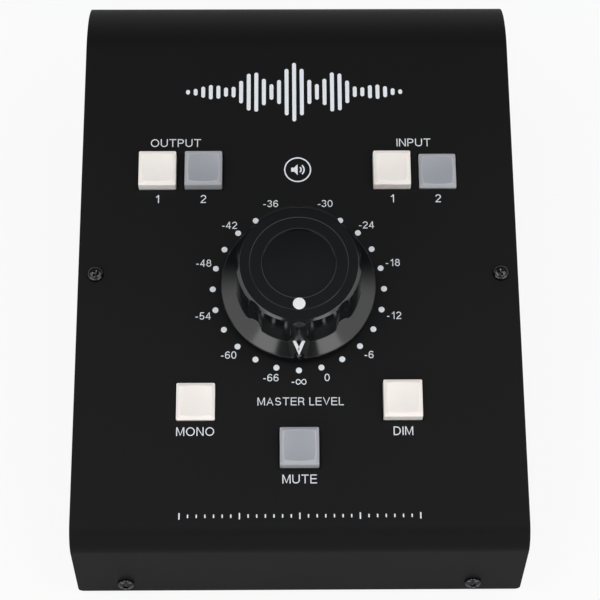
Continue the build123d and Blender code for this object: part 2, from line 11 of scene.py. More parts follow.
import bpy
import numpy as np
from bpy.props import FloatProperty, FloatVectorProperty, IntProperty, PointerProperty
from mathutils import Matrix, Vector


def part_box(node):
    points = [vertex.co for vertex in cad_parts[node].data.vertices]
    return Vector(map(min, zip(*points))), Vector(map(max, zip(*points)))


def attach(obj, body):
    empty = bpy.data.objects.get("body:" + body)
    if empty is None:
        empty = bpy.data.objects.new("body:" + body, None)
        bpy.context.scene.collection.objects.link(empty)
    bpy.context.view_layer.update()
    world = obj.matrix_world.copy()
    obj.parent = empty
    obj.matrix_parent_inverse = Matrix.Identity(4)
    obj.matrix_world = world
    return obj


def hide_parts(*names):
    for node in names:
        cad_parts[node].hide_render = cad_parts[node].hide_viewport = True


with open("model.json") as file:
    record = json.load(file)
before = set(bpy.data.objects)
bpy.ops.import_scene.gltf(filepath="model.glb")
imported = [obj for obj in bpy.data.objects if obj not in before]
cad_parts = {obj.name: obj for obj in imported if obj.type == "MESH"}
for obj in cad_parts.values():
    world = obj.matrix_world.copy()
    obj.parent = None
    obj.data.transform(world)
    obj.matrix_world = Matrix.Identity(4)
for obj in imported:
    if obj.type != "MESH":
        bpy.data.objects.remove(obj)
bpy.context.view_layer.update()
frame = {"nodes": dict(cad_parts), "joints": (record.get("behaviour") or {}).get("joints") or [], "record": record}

bl_info = {
    "name": "Monitor Controller",
    "version": (1, 0, 0),
    "blender": (4, 5, 0),
    "location": "View3D > Sidebar > Controller",
    "description": "Builds a desktop monitor controller and a studio around its solid parts",
    "category": "Object",
}

MM = 0.001
KNOB_JOINT = next(joint for joint in frame["joints"] if joint["name"] == "level_knob_turn")
PANEL_ORIGIN = np.array(KNOB_JOINT["pos_m"])
PANEL_NORMAL = -np.array(KNOB_JOINT["axis"])
ACROSS = np.array((1.0, 0.0, 0.0))
UP_SLOPE = np.cross(PANEL_NORMAL, ACROSS)
PANEL_AXES = np.array((ACROSS, UP_SLOPE, PANEL_NORMAL))
SLOPE = np.arctan2(UP_SLOPE[2], UP_SLOPE[1])
BUTTONS = ("output_1", "output_2", "input_1", "input_2", "mono", "dim", "mute")


def tint(red, green, blue):
    """A colour picked on a screen, from 0 to 255, as the linear light that a shader takes."""
    screen = np.array((red, green, blue)) / 255
    light = np.where(screen <= 0.04045, screen / 12.92, ((screen + 0.055) / 1.055) ** 2.4)
    return tuple(float(part) for part in light)


def length(name, millimetres, description):
    """A size setting, given in millimetres and kept in metres."""
    return FloatProperty(name=name, description=description, default=millimetres * MM, unit="LENGTH")


def paint(name, colour, description):
    """A colour setting."""
    return FloatVectorProperty(
        name=name, description=description, default=colour, subtype="COLOR", min=0, max=1
    )


class CoverSizes(bpy.types.PropertyGroup):
    sheet: length("Sheet", 1.5, "Thickness of the folded sheet")
    front_bend: length("Front bend", 9.5, "Outside radius between front and panel")
    rear_bend: length("Rear bend", 29.5, "Outside radius between panel and rear")
    corner: length("Corner", 2.0, "Radius of the walls' lower corners")
    edge_round: length("Edge round", 0.3, "Radius that the coating leaves on the sheet's edges")
    tray_round: length("Tray round", 0.2, "Radius that the coating leaves on the tray's edges")
    opening_gap: length("Opening gap", 0.3, "Gap round each button")
    opening_corner: length("Opening corner", 0.5, "Corner radius of the button openings")
    bush_hole: length("Bush hole", 5.1, "Radius of the hole under the knob")
    screw_hole: length("Screw hole", 1.65, "Radius of the screw holes")
    jack_hole: length("Jack hole", 4.85, "Radius of the holes for the jack sockets")
    foot_radius: length("Foot", 8.5, "Radius of the rubber feet")
    bend_steps: IntProperty(name="Bend steps", description="Faces in each bend", default=28, min=4)


class KnobSizes(bpy.types.PropertyGroup):
    grip_base: length("Grip base", 22.5, "Radius of the grip where it meets the skirt")
    grip_top: length("Grip top", 22.0, "Radius of the grip at its upper edge")
    grip_foot: length("Grip foot", 5.8, "Height where the grip meets the skirt")
    rim_height: length("Rim height", 4.5, "Height of the skirt's outer edge")
    rim_round: length("Rim round", 0.5, "Radius of the skirt's outer edges")
    flute_depth: length("Flute depth", 1.6, "Depth of the flutes at the skirt")
    flute_top_depth: length("Flute top depth", 0.8, "Depth of the flutes at the crown")
    flute_radius: length("Flute radius", 5.6, "Radius of the flutes' round bottoms")
    bevel: length("Bevel", 1.05, "Width of the sloping band round the grip's upper edge")
    bevel_drop: length("Bevel drop", 0.32, "Fall of that band")
    crown: length("Crown", 17.5, "Radius of the crown's raised middle")
    crown_step: length("Crown step", 0.3, "Step round the raised middle")
    crown_bevel: length("Crown bevel", 0.3, "Width of the bevel on the crown's two edges")
    crown_bevel_drop: length("Crown bevel drop", 0.2, "Fall of that bevel")
    nose_half: length("Nose half width", 4.4, "Half the width of the pointer's nose at its top")
    nose_foot_half: length("Nose foot half width", 3.0, "Half the width of the nose at the wedge")
    nose_front: length("Nose front", 23.5, "From the knob's middle to the nose, beside the wedge")
    nose_lean: length("Nose lean", 0.5, "How far the nose leans back up to its brow")
    nose_depth: length("Nose depth", 4.0, "How far the nose bulges, partly out of a flute")
    nose_brow: length("Nose brow", 22.7, "Height from which the nose slopes back to the crown")
    wedge_top: length("Wedge top", 8.2, "Height of the wedge's top at its tip")
    wedge_root: length("Wedge root", 9.3, "Height of the wedge's top where its slope starts")
    wedge_start: length("Wedge start", 20.0, "From the knob's middle to the wedge's hidden end")
    wedge_half: length("Wedge half width", 2.7, "Half the width of the wedge's top beside the grip")
    tip_half: length("Tip half width", 0.8, "Half the width of the wedge's top at its tip")
    mark_half: length("Mark half width", 1.7, "From the chevron's axis to the ends of its legs")
    mark_start: length("Mark start", 23.0, "From the knob's middle to the chevron's legs")
    mark_end: length("Mark end", 26.7, "From the knob's middle to the chevron's turn")
    mark_stroke: length("Mark stroke", 1.15, "Stroke of the painted chevron")
    screw_hole: length("Screw hole", 2.0, "Radius of the hole for the set screw")
    screw_height: length("Screw height", 14.0, "Height of the hole for the set screw")


class ButtonSizes(bpy.types.PropertyGroup):
    corner: length("Corner", 0.5, "Corner radius seen from above")
    draft: length("Draft", 0.12, "How much narrower a cap is at its top, on each side")
    bevel: length("Bevel", 1.5, "Width of the sloping rim")
    bevel_drop: length("Bevel drop", 0.8, "Fall of the sloping rim")
    dish: length("Dish", 0.5, "Depth of the dished face, from its corners")
    wall: length("Wall", 1.2, "Wall of the hollow cap")


class PrintSizes(bpy.types.PropertyGroup):
    ink: length("Ink", 0.02, "Thickness of the printed ink")
    dot_radius: length("Dot", 1.08, "Radius of the dial's dots")
    dot_ring: length("Dot ring", 31.05, "Radius of the ring of dots")
    number_ring: length("Number ring", 35.1, "Radius of the ring of numbers, before and behind")
    number_spread: length("Number spread", 0.9, "How much further out the numbers at the sides stand")
    number_height: length("Number height", 2.8, "Height of the dial's numbers")
    number_lean: FloatProperty(
        name="Number lean", description="Turn of the numbers towards the diagonals",
        default=np.radians(1.8), unit="ROTATION",
    )
    word_height: length("Word height", 3.2, "Height of the button words")
    word_below: length("Word below", 10.9, "From a cap's middle down to its number or word")
    word_above: length("Word above", 11.8, "From a cap's middle up to its pair's word")
    title_height: length("Title height", 2.95, "Height of the dial's title")
    badge_radius: length("Badge", 4.8, "Radius of the ring round the loudspeaker sign")
    badge_place: length("Badge place", 47.4, "From the knob's middle up to the sign")
    wave_width: length("Wave width", 80.0, "Width of the row of level bars")
    wave_height: length("Wave height", 23.0, "Height of the tallest level bar")
    wave_place: length("Wave place", 79.5, "From the knob's middle up to the level bars")
    bars: IntProperty(name="Bars", description="Level bars in the row", default=29, min=3)
    scale_place: length("Scale place", 84.2, "From the knob's middle down to the row of ticks")
    tick_pitch: length("Tick pitch", 3.0, "Distance between two ticks")
    ticks: IntProperty(name="Ticks", description="Ticks in the scale", default=29, min=2)
    positions: IntProperty(name="Positions", description="Dots on the dial", default=24, min=2)


class StudioSettings(bpy.types.PropertyGroup):
    lens: FloatProperty(name="Lens", description="Focal length in millimetres", default=114.75)
    camera_place: FloatVectorProperty(
        name="Camera place",
        description="From the knob's centre on the panel",
        default=(-0.005786, -0.372909, 0.584733),
        unit="LENGTH",
    )
    camera_turn: FloatVectorProperty(
        name="Camera turn",
        description="Rotation of the camera",
        default=tuple(np.radians((32.20294, -0.33521, -0.45177))),
        subtype="EULER",
    )
    side_light: FloatProperty(name="Side light", description="Watts of each softbox", default=3.45)
    strip_light: FloatProperty(name="Strip light", description="Watts of each strip", default=0.7)
    fill_light: FloatProperty(name="Fill light", description="Watts of each front softbox", default=3.2)
    sky_light: FloatProperty(name="Sky light", description="Strength of the room's light", default=0.9)


class Colours(bpy.types.PropertyGroup):
    coating: paint("Coating", tint(14, 14, 15), "Powder coat of the case")
    ink: paint("Ink", tint(217, 221, 227), "Screen print on the panel")
    knob: paint("Knob", tint(13, 14, 16), "Moulding of the knob")
    white_cap: paint("White cap", tint(232, 227, 222), "White button caps")
    grey_cap: paint("Grey cap", tint(149, 152, 160), "Grey button caps")
    # painted highlight colour for the grey caps' rims and edges
    grey_rim_highlight: paint("Grey rim", tint(182, 184, 186), "Rims of the grey button caps")
    mark: paint("Mark", tint(219, 221, 224), "Paint in the knob's marks")
    floor: paint("Floor", tint(218, 218, 220), "Studio floor")


SETTINGS = {
    "controller_cover": CoverSizes,
    "controller_knob": KnobSizes,
    "controller_buttons": ButtonSizes,
    "controller_print": PrintSizes,
    "controller_studio": StudioSettings,
    "controller_colours": Colours,
}


# Shader expressions


class Signal:
    """What one node output carries. Arithmetic on it adds Math nodes."""

    def __init__(self, owner, socket):
        self.owner = owner
        self.socket = socket

    def math(self, operation, *values):
        """What a new Math node makes of the values."""
        return self.owner.node("ShaderNodeMath", {"operation": operation}, dict(enumerate(values)))

    def __add__(self, other):
        return self.math("ADD", self, other)

    def __sub__(self, other):
        return self.math("SUBTRACT", self, other)

    def __rsub__(self, other):
        return self.math("SUBTRACT", other, self)

    def __mul__(self, other):
        return self.math("MULTIPLY", self, other)

    __radd__ = __add__
    __rmul__ = __mul__

    def larger(self, other):
        """The greater of the two."""
        return self.math("MAXIMUM", self, other)

    def folded(self, period):
        """0 at every whole period and 1 half way between, rising and falling evenly."""
        return self.math("PINGPONG", self * (2 / period), 1.0)

    def between(self, low, high):
        """0 up to low, 1 from high on, and a smooth rise from one to the other."""
        settings = {"interpolation_type": "SMOOTHSTEP"}
        sockets = {"Value": self, "From Min": low, "From Max": high}
        return self.owner.node("ShaderNodeMapRange", settings, sockets)

    def mix(self, start, end):
        """The first colour where this is 0 and the second where it is 1."""
        sockets = {"Factor": self, "A": start, "B": end}
        return self.owner.node("ShaderNodeMix", {"data_type": "RGBA"}, sockets)


class Nodes:
    """A node tree under construction."""

    def __init__(self, tree):
        self.tree = tree

    def fill(self, socket, value):
        """Sets a socket's value, or links it."""
        if isinstance(value, Signal):
            self.tree.links.new(value.socket, socket)
        elif socket.type == "RGBA" and len(value) == 3:
            socket.default_value = (*value, 1.0)
        else:
            socket.default_value = value

    def node(self, kind, settings, sockets, output=None):
        """Adds one node: first its settings, then the values and links of its sockets."""
        made = self.tree.nodes.new(kind)
        for name, value in settings.items():
            setattr(made, name, value)
        for key, value in sockets.items():
            named = [s for s in made.inputs if s.name == key and s.enabled]
            self.fill(made.inputs[key] if isinstance(key, int) else named[0], value)
        shown = [socket for socket in made.outputs if socket.enabled]
        return Signal(self, shown[0] if output is None else made.outputs[output])


class Finish(Nodes):
    """A material: its nodes, and the Principled shader that they feed."""

    def __init__(self, name, colour, roughness, metallic=0.0, **constants):
        self.material = bpy.data.materials.new(name)
        self.material.use_nodes = True
        super().__init__(self.material.node_tree)
        self.shader = self.tree.nodes["Principled BSDF"]
        self.feed("Base Color", colour)
        self.feed("Roughness", roughness)
        self.feed("Metallic", metallic)
        for socket, value in constants.items():
            self.feed(socket.replace("_", " ").title().replace("Ior", "IOR"), value)

    def feed(self, name, value):
        """Sets or links one of the shader's sockets."""
        self.fill(self.shader.inputs[name], value)

    def place(self):
        """Object coordinates, in metres."""
        return self.node("ShaderNodeTexCoord", {}, {}, "Object")

    def stretched(self, x, y, z):
        """Object coordinates, stretched along each axis."""
        return self.node("ShaderNodeMapping", {}, {"Vector": self.place(), "Scale": (x, y, z)})

    def noise(self, grain, detail=2.0, vector=None):
        """Soft noise from 0 to 1, with blotches about as large as grain, in metres."""
        sockets = {"Vector": vector or self.place(), "Scale": 1 / grain, "Detail": detail}
        return self.node("ShaderNodeTexNoise", {}, sockets)

    def cells(self, grain):
        """The distance to the nearest of many scattered points, about a grain apart."""
        return self.node("ShaderNodeTexVoronoi", {}, {"Vector": self.place(), "Scale": 1 / grain})

    def axis(self, name):
        """One of the object coordinates, X, Y or Z."""
        return self.node("ShaderNodeSeparateXYZ", {}, {0: self.place()}, name)

    def marks(self):
        """The value that a piece's shell holds for each point."""
        return self.node("ShaderNodeAttribute", {"attribute_name": "marks"}, {}, "Fac")

    def relief(self, height, depth):
        """Raises the surface by depth, in metres, where height is 1."""
        sockets = {"Height": height, "Distance": depth, "Strength": 1.0}
        self.feed("Normal", self.node("ShaderNodeBump", {}, sockets))

    def done(self, colour, roughness, height=None, depth=0.0):
        """The material, with its colour and roughness fed and its surface raised by a height."""
        self.feed("Base Color", colour)
        self.feed("Roughness", roughness)
        if height is not None:
            self.relief(height, depth)
        return self.material


# Finishes


BLACK, WHITE = (0.0, 0.0, 0.0), (1.0, 1.0, 1.0)


def faded(colour, share):
    """The colour with its light scaled by share."""
    return tuple(min(part * share, 1.0) for part in colour[:3])


def powder_coat(colours):
    """Satin black powder coat: fine orange peel, with a faint cloudiness in tone and sheen."""
    finish = Finish("powder_coat", colours.coating, 0.5, specular_ior_level=0.1)
    peel = finish.noise(0.7 * MM, 1.5)
    cloud = finish.noise(35 * MM, 2.0)
    fleck = finish.noise(0.22 * MM, 1.0).between(0.62, 0.8)
    tone = cloud.mix(faded(colours.coating, 0.93), faded(colours.coating, 1.08))
    colour = (fleck * 0.25).mix(tone, faded(colours.coating, 1.7))
    return finish.done(colour, 0.44 + cloud * 0.06 + peel * 0.06, peel, 0.012 * MM)


def screen_print(colours):
    """Matt white ink, a little thinner here and there."""
    finish = Finish("screen_print", colours.ink, 0.55, specular_ior_level=0.3)
    thin = finish.noise(0.5 * MM, 2.0).between(0.5, 0.85)
    colour = (thin * 0.16).mix(colours.ink[:], faded(colours.ink, 0.5))
    return finish.done(colour, 0.5 + thin * 0.15)


def gloss_moulding(colours):
    """Polished black plastic with faint flow waviness and hairline scuffs, hazy where it is held."""
    finish = Finish("gloss_moulding", colours.knob, 0.12, specular_ior_level=0.42)
    scuff = finish.noise(0.6 * MM, 2.0, finish.stretched(1.0, 9.0, 9.0)).between(0.6, 0.78)
    haze = finish.noise(9 * MM, 2.0)
    colour = haze.mix(faded(colours.knob, 0.85), faded(colours.knob, 1.2))
    roughness = 0.06 + haze * 0.05 + scuff * 0.1 + finish.marks() * 0.25
    return finish.done(colour, roughness, finish.noise(4 * MM, 1.0), 0.003 * MM)


def cap_plastic(name, colour, highlight_colour):
    """Satin cap moulding, lighter at the rim and along its edges, where a highlight is painted in."""
    finish = Finish(name, colour, 0.32, subsurface_weight=0.2, subsurface_scale=0.8 * MM)
    mottle = finish.noise(6 * MM, 2.0)
    # painted highlight: rim holds each point's share of it, and there the colour goes over to the lighter
    # highlight colour
    rim = finish.marks()
    toned = rim.mix(mottle.mix(faded(colour, 0.97), faded(colour, 1.02)), highlight_colour)
    return finish.done(toned, 0.28 + mottle * 0.08, finish.noise(0.4 * MM, 1.0), 0.002 * MM)


def marker_paint(colours):
    """Enamel run into the knob's marks."""
    finish = Finish("marker_paint", colours.mark, 0.4)
    speck = finish.noise(0.7 * MM, 2.0).between(0.55, 0.8)
    colour = (speck * 0.2).mix(colours.mark[:], faded(colours.mark, 0.6))
    return finish.done(colour, 0.35 + speck * 0.15, finish.noise(0.9 * MM, 2.0), 0.02 * MM)


def metal(name, colour, roughness, brush=1.0, wear=0.0):
    """Plated or bare metal, with drawn-out marks and a tone that clouds over."""
    finish = Finish(name, colour, roughness, 1.0)
    cloud = finish.noise(4 * MM, 3.0)
    marks = finish.noise(0.3 * MM, 2.0, finish.stretched(1.0, brush, 1.0))
    toned = (cloud * (0.5 + wear)).mix(colour, faded(colour, 0.62))
    return finish.done(toned, roughness * 0.8 + marks * 0.15 + cloud * 0.1, marks, 0.003 * MM)


def black_steel():
    """Black oxide on the screw heads, rubbed through where the driver goes."""
    oxide = tint(62, 62, 64)
    finish = Finish("black_steel", oxide, 0.2, 1.0)
    rub = finish.noise(0.5 * MM, 3.0).between(0.58, 0.75)
    colour = (rub * 0.5).mix(oxide, tint(128, 128, 130))
    return finish.done(colour, 0.14 + rub * 0.2, finish.noise(0.25 * MM, 2.0), 0.003 * MM)


def dull_moulding(name, colour, roughness=0.5, grain=0.35):
    """Moulded plastic with a fine spark-eroded texture."""
    finish = Finish(name, colour, roughness)
    texture = finish.noise(grain * MM, 2.0)
    cloud = finish.noise(12 * MM, 2.0)
    toned = cloud.mix(faded(colour, 0.85), faded(colour, 1.15))
    return finish.done(toned, roughness - 0.08 + texture * 0.16, texture, 0.01 * MM)


def rubber():
    """Dark rubber with a chalky bloom and moulded grain."""
    colour = tint(30, 30, 31)
    finish = Finish("moulded_rubber", colour, 0.75)
    bloom = finish.noise(3 * MM, 4.0).between(0.45, 0.75)
    toned = (bloom * 0.5).mix(colour, tint(62, 61, 60))
    return finish.done(toned, 0.68 + bloom * 0.2, finish.cells(0.45 * MM), 0.03 * MM)


def board():
    """Green solder mask over straight copper tracks, on glass cloth."""
    mask = tint(18, 74, 44)
    finish = Finish("solder_mask", mask, 0.35, coat_weight=0.3)
    track = finish.axis("X").folded(3.2 * MM).between(0.68, 0.76)
    copper = track * finish.noise(14 * MM, 1.0).between(0.4, 0.5)
    weave = finish.noise(0.5 * MM, 2.0, finish.stretched(1.0, 3.0, 1.0))
    colour = (copper * 0.7).mix(mask, tint(52, 118, 66))
    return finish.done(colour, 0.3 + weave * 0.2, copper + weave * 0.15, 0.03 * MM)


def ribbon():
    """Grey flat cable: a row of round cores across its width, with one red edge."""
    sheath, pitch = tint(150, 152, 155), 1.27 * MM
    finish = Finish("flat_cable", sheath, 0.45)
    cores = finish.axis("X").folded(pitch)
    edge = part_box("ribbon_cable")[0].x + pitch
    colour = finish.axis("X").between(edge, edge + 0.1 * MM).mix(tint(176, 38, 34), sheath)
    return finish.done(colour, 0.4 + cores * 0.15, cores, 0.15 * MM)


def slot_finishes(colours):
    """Each material slot of the record, and the ink, with its finish."""
    white, grey = colours.white_cap[:], colours.grey_cap[:]
    return {
        "black_sheet": powder_coat(colours),
        "black_screw": black_steel(),
        "foot_rubber": rubber(),
        "circuit_board": board(),
        "switch_plastic": dull_moulding("switch_moulding", tint(34, 34, 36)),
        "tinned_metal": metal("tinned_copper", tint(196, 196, 190), 0.35, 1.0, 0.3),
        "plated_steel": metal("zinc_plate", tint(186, 188, 192), 0.32, 6.0, 0.2),
        "cast_housing": metal("zinc_casting", tint(150, 150, 152), 0.5, 1.0, 0.4),
        "resistor_body": dull_moulding("resistor_glaze", tint(26, 30, 38), 0.3, 0.8),
        "jack_plastic": dull_moulding("jack_moulding", tint(19, 19, 20), 0.4),
        "jack_nut_metal": metal("nickel_plate", tint(196, 194, 188), 0.22, 4.0, 0.1),
        "ribbon_sheath": ribbon(),
        "knob_plastic": gloss_moulding(colours),
        "marker_white": marker_paint(colours),
        "insert_brass": metal("machined_brass", tint(196, 158, 84), 0.28, 8.0, 0.2),
        # each cap's rim gets a painted highlight: a lighter white, and the grey caps' highlight colour
        "cap_white": cap_plastic("white_cap_plastic", white, faded(white, 1.08)),
        "cap_grey": cap_plastic("grey_cap_plastic", grey, colours.grey_rim_highlight[:]),
        "ink": screen_print(colours),
    }


# Places


def panel_box(node):
    """A node's lowest and highest (u, v, h)."""
    mesh = frame["nodes"][node].data
    points = np.empty(len(mesh.vertices) * 3)
    mesh.vertices.foreach_get("co", points)
    local = (points.reshape(-1, 3) - PANEL_ORIGIN) @ PANEL_AXES.T
    return local.min(0), local.max(0)


def on_panel(points, u=0.0, v=0.0, h=0.0):
    """Points in (u, v, h), moved by a panel place and turned into the frame's (x, y, z)."""
    return PANEL_ORIGIN + (np.asarray(points) + (u, v, h)) @ PANEL_AXES


def on_wall(points, facing, x, z, y):
    """Points in (across, up, out), on a wall that faces -Y for -1 or +Y for 1."""
    across, up, out = np.moveaxis(np.asarray(points), -1, 0)
    return np.stack((x - facing * across, y + facing * out, z + up), -1)


def jack_mounts():
    """The record's bores for the jack plugs."""
    return [mount for mount in frame["record"]["mounts"] if mount["name"].endswith("_jack")]


# Surfaces


def grid_faces(rows, columns, first=0, wrap=True, loop=False):
    """Quads of a grid of points, counted row by row. wrap joins the last column to the first, and
    loop the last row to the first."""
    row, column = np.meshgrid(
        np.arange(rows if loop else rows - 1),
        np.arange(columns if wrap else columns - 1),
        indexing="ij",
    )
    above, beside = (row + 1) % rows, (column + 1) % columns
    corners = (
        row * columns + column,
        row * columns + beside,
        above * columns + beside,
        above * columns + column,
    )
    return np.stack(corners, -1).reshape(-1, 4) + first


def circle(radius, count):
    """Points round a circle, anticlockwise from +x, at a height of 0."""
    turn = np.arange(count) / count * 2 * np.pi
    return np.stack((radius * np.cos(turn), radius * np.sin(turn), np.zeros(count)), -1)


def revolved(profile, count):
    """Rings from a profile of (radius, height) points turned round the height axis."""
    radius, height = np.asarray(profile, float).T
    rings = circle(1.0, count)[None] * radius[:, None, None]
    rings[..., 2] = height[:, None]
    return rings


def lathed(rows, across, along):
    """Rings from rows of (radius, height), each one number or a value for each column. The columns
    point from the axis along the unit directions (across, along)."""
    rings = [np.broadcast_arrays(radius * across, radius * along, height) for radius, height in rows]
    return np.array(rings).transpose(0, 2, 1)


def levels(ring, *heights):
    """The same ring at several heights, one row each."""
    rings = np.repeat(np.asarray(ring, float)[None], len(heights), 0)
    rings[..., 2] += np.array(heights)[:, None]
    return rings


def rounded(corners, radii, steps):
    """A line of (x, y) corners with an arc in place of each inner one. An arc is tangent to both of
    its runs, so it starts radius * tan(half the turn) before its corner."""
    points = [corners[0]]
    for before, corner, after, radius in zip(corners, corners[1:], corners[2:], radii):
        before, corner, after = np.array((before, corner, after), float)
        into = (corner - before) / np.linalg.norm(corner - before)
        away = (after - corner) / np.linalg.norm(after - corner)
        turn = np.arctan2(into[0] * away[1] - into[1] * away[0], into @ away)
        side = np.array((-into[1], into[0])) * np.sign(turn)
        centre = corner - into * radius * np.tan(abs(turn) / 2) + side * radius
        swing = np.linspace(0, abs(turn), steps)[:, None]
        points += (centre + radius * (into * np.sin(swing) - side * np.cos(swing))).tolist()
    return np.array([*points, corners[-1]], float)


def rounded_square(half, corner, side_steps=8, corner_steps=6):
    """Points round a square with round corners: along each side, then round each quarter arc."""
    side = np.linspace(-1, 1, side_steps + 1)[:-1] * (half - corner)
    swing = np.linspace(0, np.pi / 2, corner_steps + 1)[:-1]
    x = np.concatenate((np.full(side_steps, half), half - corner + corner * np.cos(swing)))
    y = np.concatenate((side, half - corner + corner * np.sin(swing)))
    quarter = (x + 1j * y)[None] * np.array((1, 1j, -1, -1j))[:, None]
    return np.stack((quarter.real, quarter.imag, np.zeros(quarter.shape)), -1).reshape(-1, 3)


def capsule(width, height, steps=12):
    """An upright bar with half-round ends: a circle whose halves are moved apart."""
    ring = circle(width / 2, 2 * steps)
    ring[:, 1] += np.where(np.arange(2 * steps) <= steps, 1, -1) * (height - width) / 2
    return ring


def smooth_min(first, second, blend):
    """The lesser of two values, with their corner rounded where they differ by less than blend."""
    near = np.maximum(blend - np.abs(first - second), 0) / blend
    return np.minimum(first, second) - near**2 * blend / 4


def smooth_max(first, second, blend):
    """The greater of two values, with their corner rounded in the same way."""
    return -smooth_min(-first, -second, blend)


class Shell:
    """Points and faces gathered for one piece."""

    def __init__(self):
        self.points = []
        self.faces = []
        self.marks = []
        self.count = 0

    def gather(self, grid, marks=None, **joins):
        """Adds rows of points and the quads between them. marks holds a value for each point, for
        its finish, and joins says which ends of the grid meet."""
        grid = np.asarray(grid, float)
        rows, columns = grid.shape[:2]
        self.faces += grid_faces(rows, columns, self.count, **joins).tolist()
        self.points.append(grid.reshape(-1, 3))
        self.marks.append(np.zeros(rows * columns) if marks is None else np.ravel(marks))
        self.count += rows * columns

    def loft(self, rings, loop=False, marks=None):
        """Adds closed rings of points, joined by quads. Each end is closed by one face, or the last
        ring is joined to the first."""
        start = self.count
        self.gather(rings, marks, loop=loop)
        if not loop:
            first = np.arange(np.shape(rings)[1])
            self.faces.append((first[::-1] + start).tolist())
            self.faces.append((first + self.count - first.size).tolist())
        return self

    def made(self, name):
        """A new object of this shape."""
        mesh = bpy.data.meshes.new(name)
        mesh.from_pydata(np.concatenate(self.points).tolist(), [], self.faces)
        marks = np.concatenate(self.marks).astype(np.float32)
        if marks.any():
            mesh.attributes.new("marks", "FLOAT", "POINT").data.foreach_set("value", marks)
        made = bpy.data.objects.new(name, mesh)
        bpy.context.scene.collection.objects.link(made)
        return made


def modified(made, *modifiers):
    """Adds each modifier, a (type, settings) pair, and turns the result into the object's mesh."""
    for kind, settings in modifiers:
        modifier = made.modifiers.new(kind.title(), kind)
        for name, value in settings.items():
            setattr(modifier, name, value)
    graph = bpy.context.evaluated_depsgraph_get()
    mesh = bpy.data.meshes.new_from_object(made.evaluated_get(graph))
    made.modifiers.clear()
    made.data = mesh
    mesh.name = made.name


def join(made, shell, operation):
    """Adds the shape gathered in a shell to an object, or takes it out."""
    tool = shell.made("joined_shape")
    modified(made, ("BOOLEAN", {"object": tool, "operation": operation, "solver": "EXACT"}))
    bpy.data.objects.remove(tool)


def edge_rounding(width):
    """The modifier that rounds a piece's sharp edges."""
    settings = {"width": width, "segments": 2, "limit_method": "ANGLE", "angle_limit": np.radians(40)}
    return "BEVEL", settings


def dress(made, slot, body="housing", replaces=(), finish=None, sharp=35.0):
    """Gives a new object its shading, its finish and its body, and hides the nodes that it stands for."""
    made.data.materials.clear()
    made.data.materials.append(FINISHES[finish or slot])
    made.data.shade_smooth()
    made.data.set_sharp_from_angle(angle=np.radians(sharp))
    modified(made, ("WEIGHTED_NORMAL", {"keep_sharp": True}))
    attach(made, body)
    if replaces:
        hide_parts(*replaces)


# Case


def cover_line(sizes):
    """The cover's outer face seen from the side, as (y, z) from the front's lower edge over the
    panel to the rear's lower edge, and how far each point's row stops short of the full width: the
    lower corners are quarter circles."""
    low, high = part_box("top_cover")
    swing = np.linspace(0, np.pi / 2, 8)
    rise, short = sizes.corner * (1 - np.cos(swing)), sizes.corner * (1 - np.sin(swing))
    crease = [(y, PANEL_ORIGIN[2] + (y - PANEL_ORIGIN[1]) * np.tan(SLOPE)) for y in (low.y, high.y)]
    corners = [(low.y, low.z + sizes.corner), *crease, (high.y, low.z + sizes.corner)]
    folded = rounded(corners, (sizes.front_bend, sizes.rear_bend), sizes.bend_steps)[1:-1]
    front = np.stack((np.full(swing.size, low.y), low.z + rise), -1)
    rear = np.stack((np.full(swing.size, high.y), low.z + rise), -1)[::-1]
    line = np.concatenate((front, folded, rear))
    return line, np.concatenate((short, np.zeros(len(folded)), short[::-1]))


def cover_openings(sizes):
    """Everything that is punched through the cover: squares for the buttons and round holes for
    the bush, the screws and the jack sockets."""
    reach = 4 * sizes.sheet
    tools = Shell()
    for name in BUTTONS:
        low, high = panel_box(f"{name}_cap")
        u, v = (low + high)[:2] / 2
        square = rounded_square((high - low)[0] / 2 + sizes.opening_gap, sizes.opening_corner)
        tools.loft(on_panel(levels(square, -reach, reach), u, v))
    tools.loft(on_panel(levels(circle(sizes.bush_hole, 64), -reach, reach)))
    hole = levels(circle(sizes.screw_hole, 32), -reach, reach)
    for place in screw_places():
        tools.loft(place(hole))
    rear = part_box("top_cover")[1].y
    for mount in jack_mounts():
        x, _, z = mount["pos_m"]
        ring = levels(circle(sizes.jack_hole, 48), -reach, reach)
        tools.loft(on_wall(ring, 1, x, z, rear))
    return tools


def make_cover(sizes):
    """The folded cover: a line seen from the side, carried from one side edge to the other."""
    line, short = cover_line(sizes)
    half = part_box("top_cover")[1].x - short
    left = np.column_stack((-half, line))
    shell = Shell()
    shell.gather(np.stack((left, left * (-1, 1, 1)), 1), wrap=False)
    cover = shell.made("folded_cover")
    solid = {"thickness": sizes.sheet, "offset": -1.0, "use_even_offset": True}
    modified(cover, ("SOLIDIFY", solid))
    join(cover, cover_openings(sizes), "DIFFERENCE")
    modified(cover, edge_rounding(sizes.edge_round))
    dress(cover, "black_sheet", replaces=["top_cover"])


def make_tray(sizes):
    """The tray: the solid part's own faces, joined, with coated edges."""
    mesh = frame["nodes"]["base_tray"].data.copy()
    tray = bpy.data.objects.new("folded_tray", mesh)
    mesh.materials.clear()
    bpy.context.scene.collection.objects.link(tray)
    weld = ("WELD", {"merge_threshold": 0.001 * MM})
    flatten = ("DECIMATE", {"decimate_type": "DISSOLVE", "angle_limit": np.radians(1)})
    modified(tray, weld, flatten, edge_rounding(sizes.tray_round))
    dress(tray, "black_sheet", replaces=["base_tray"])


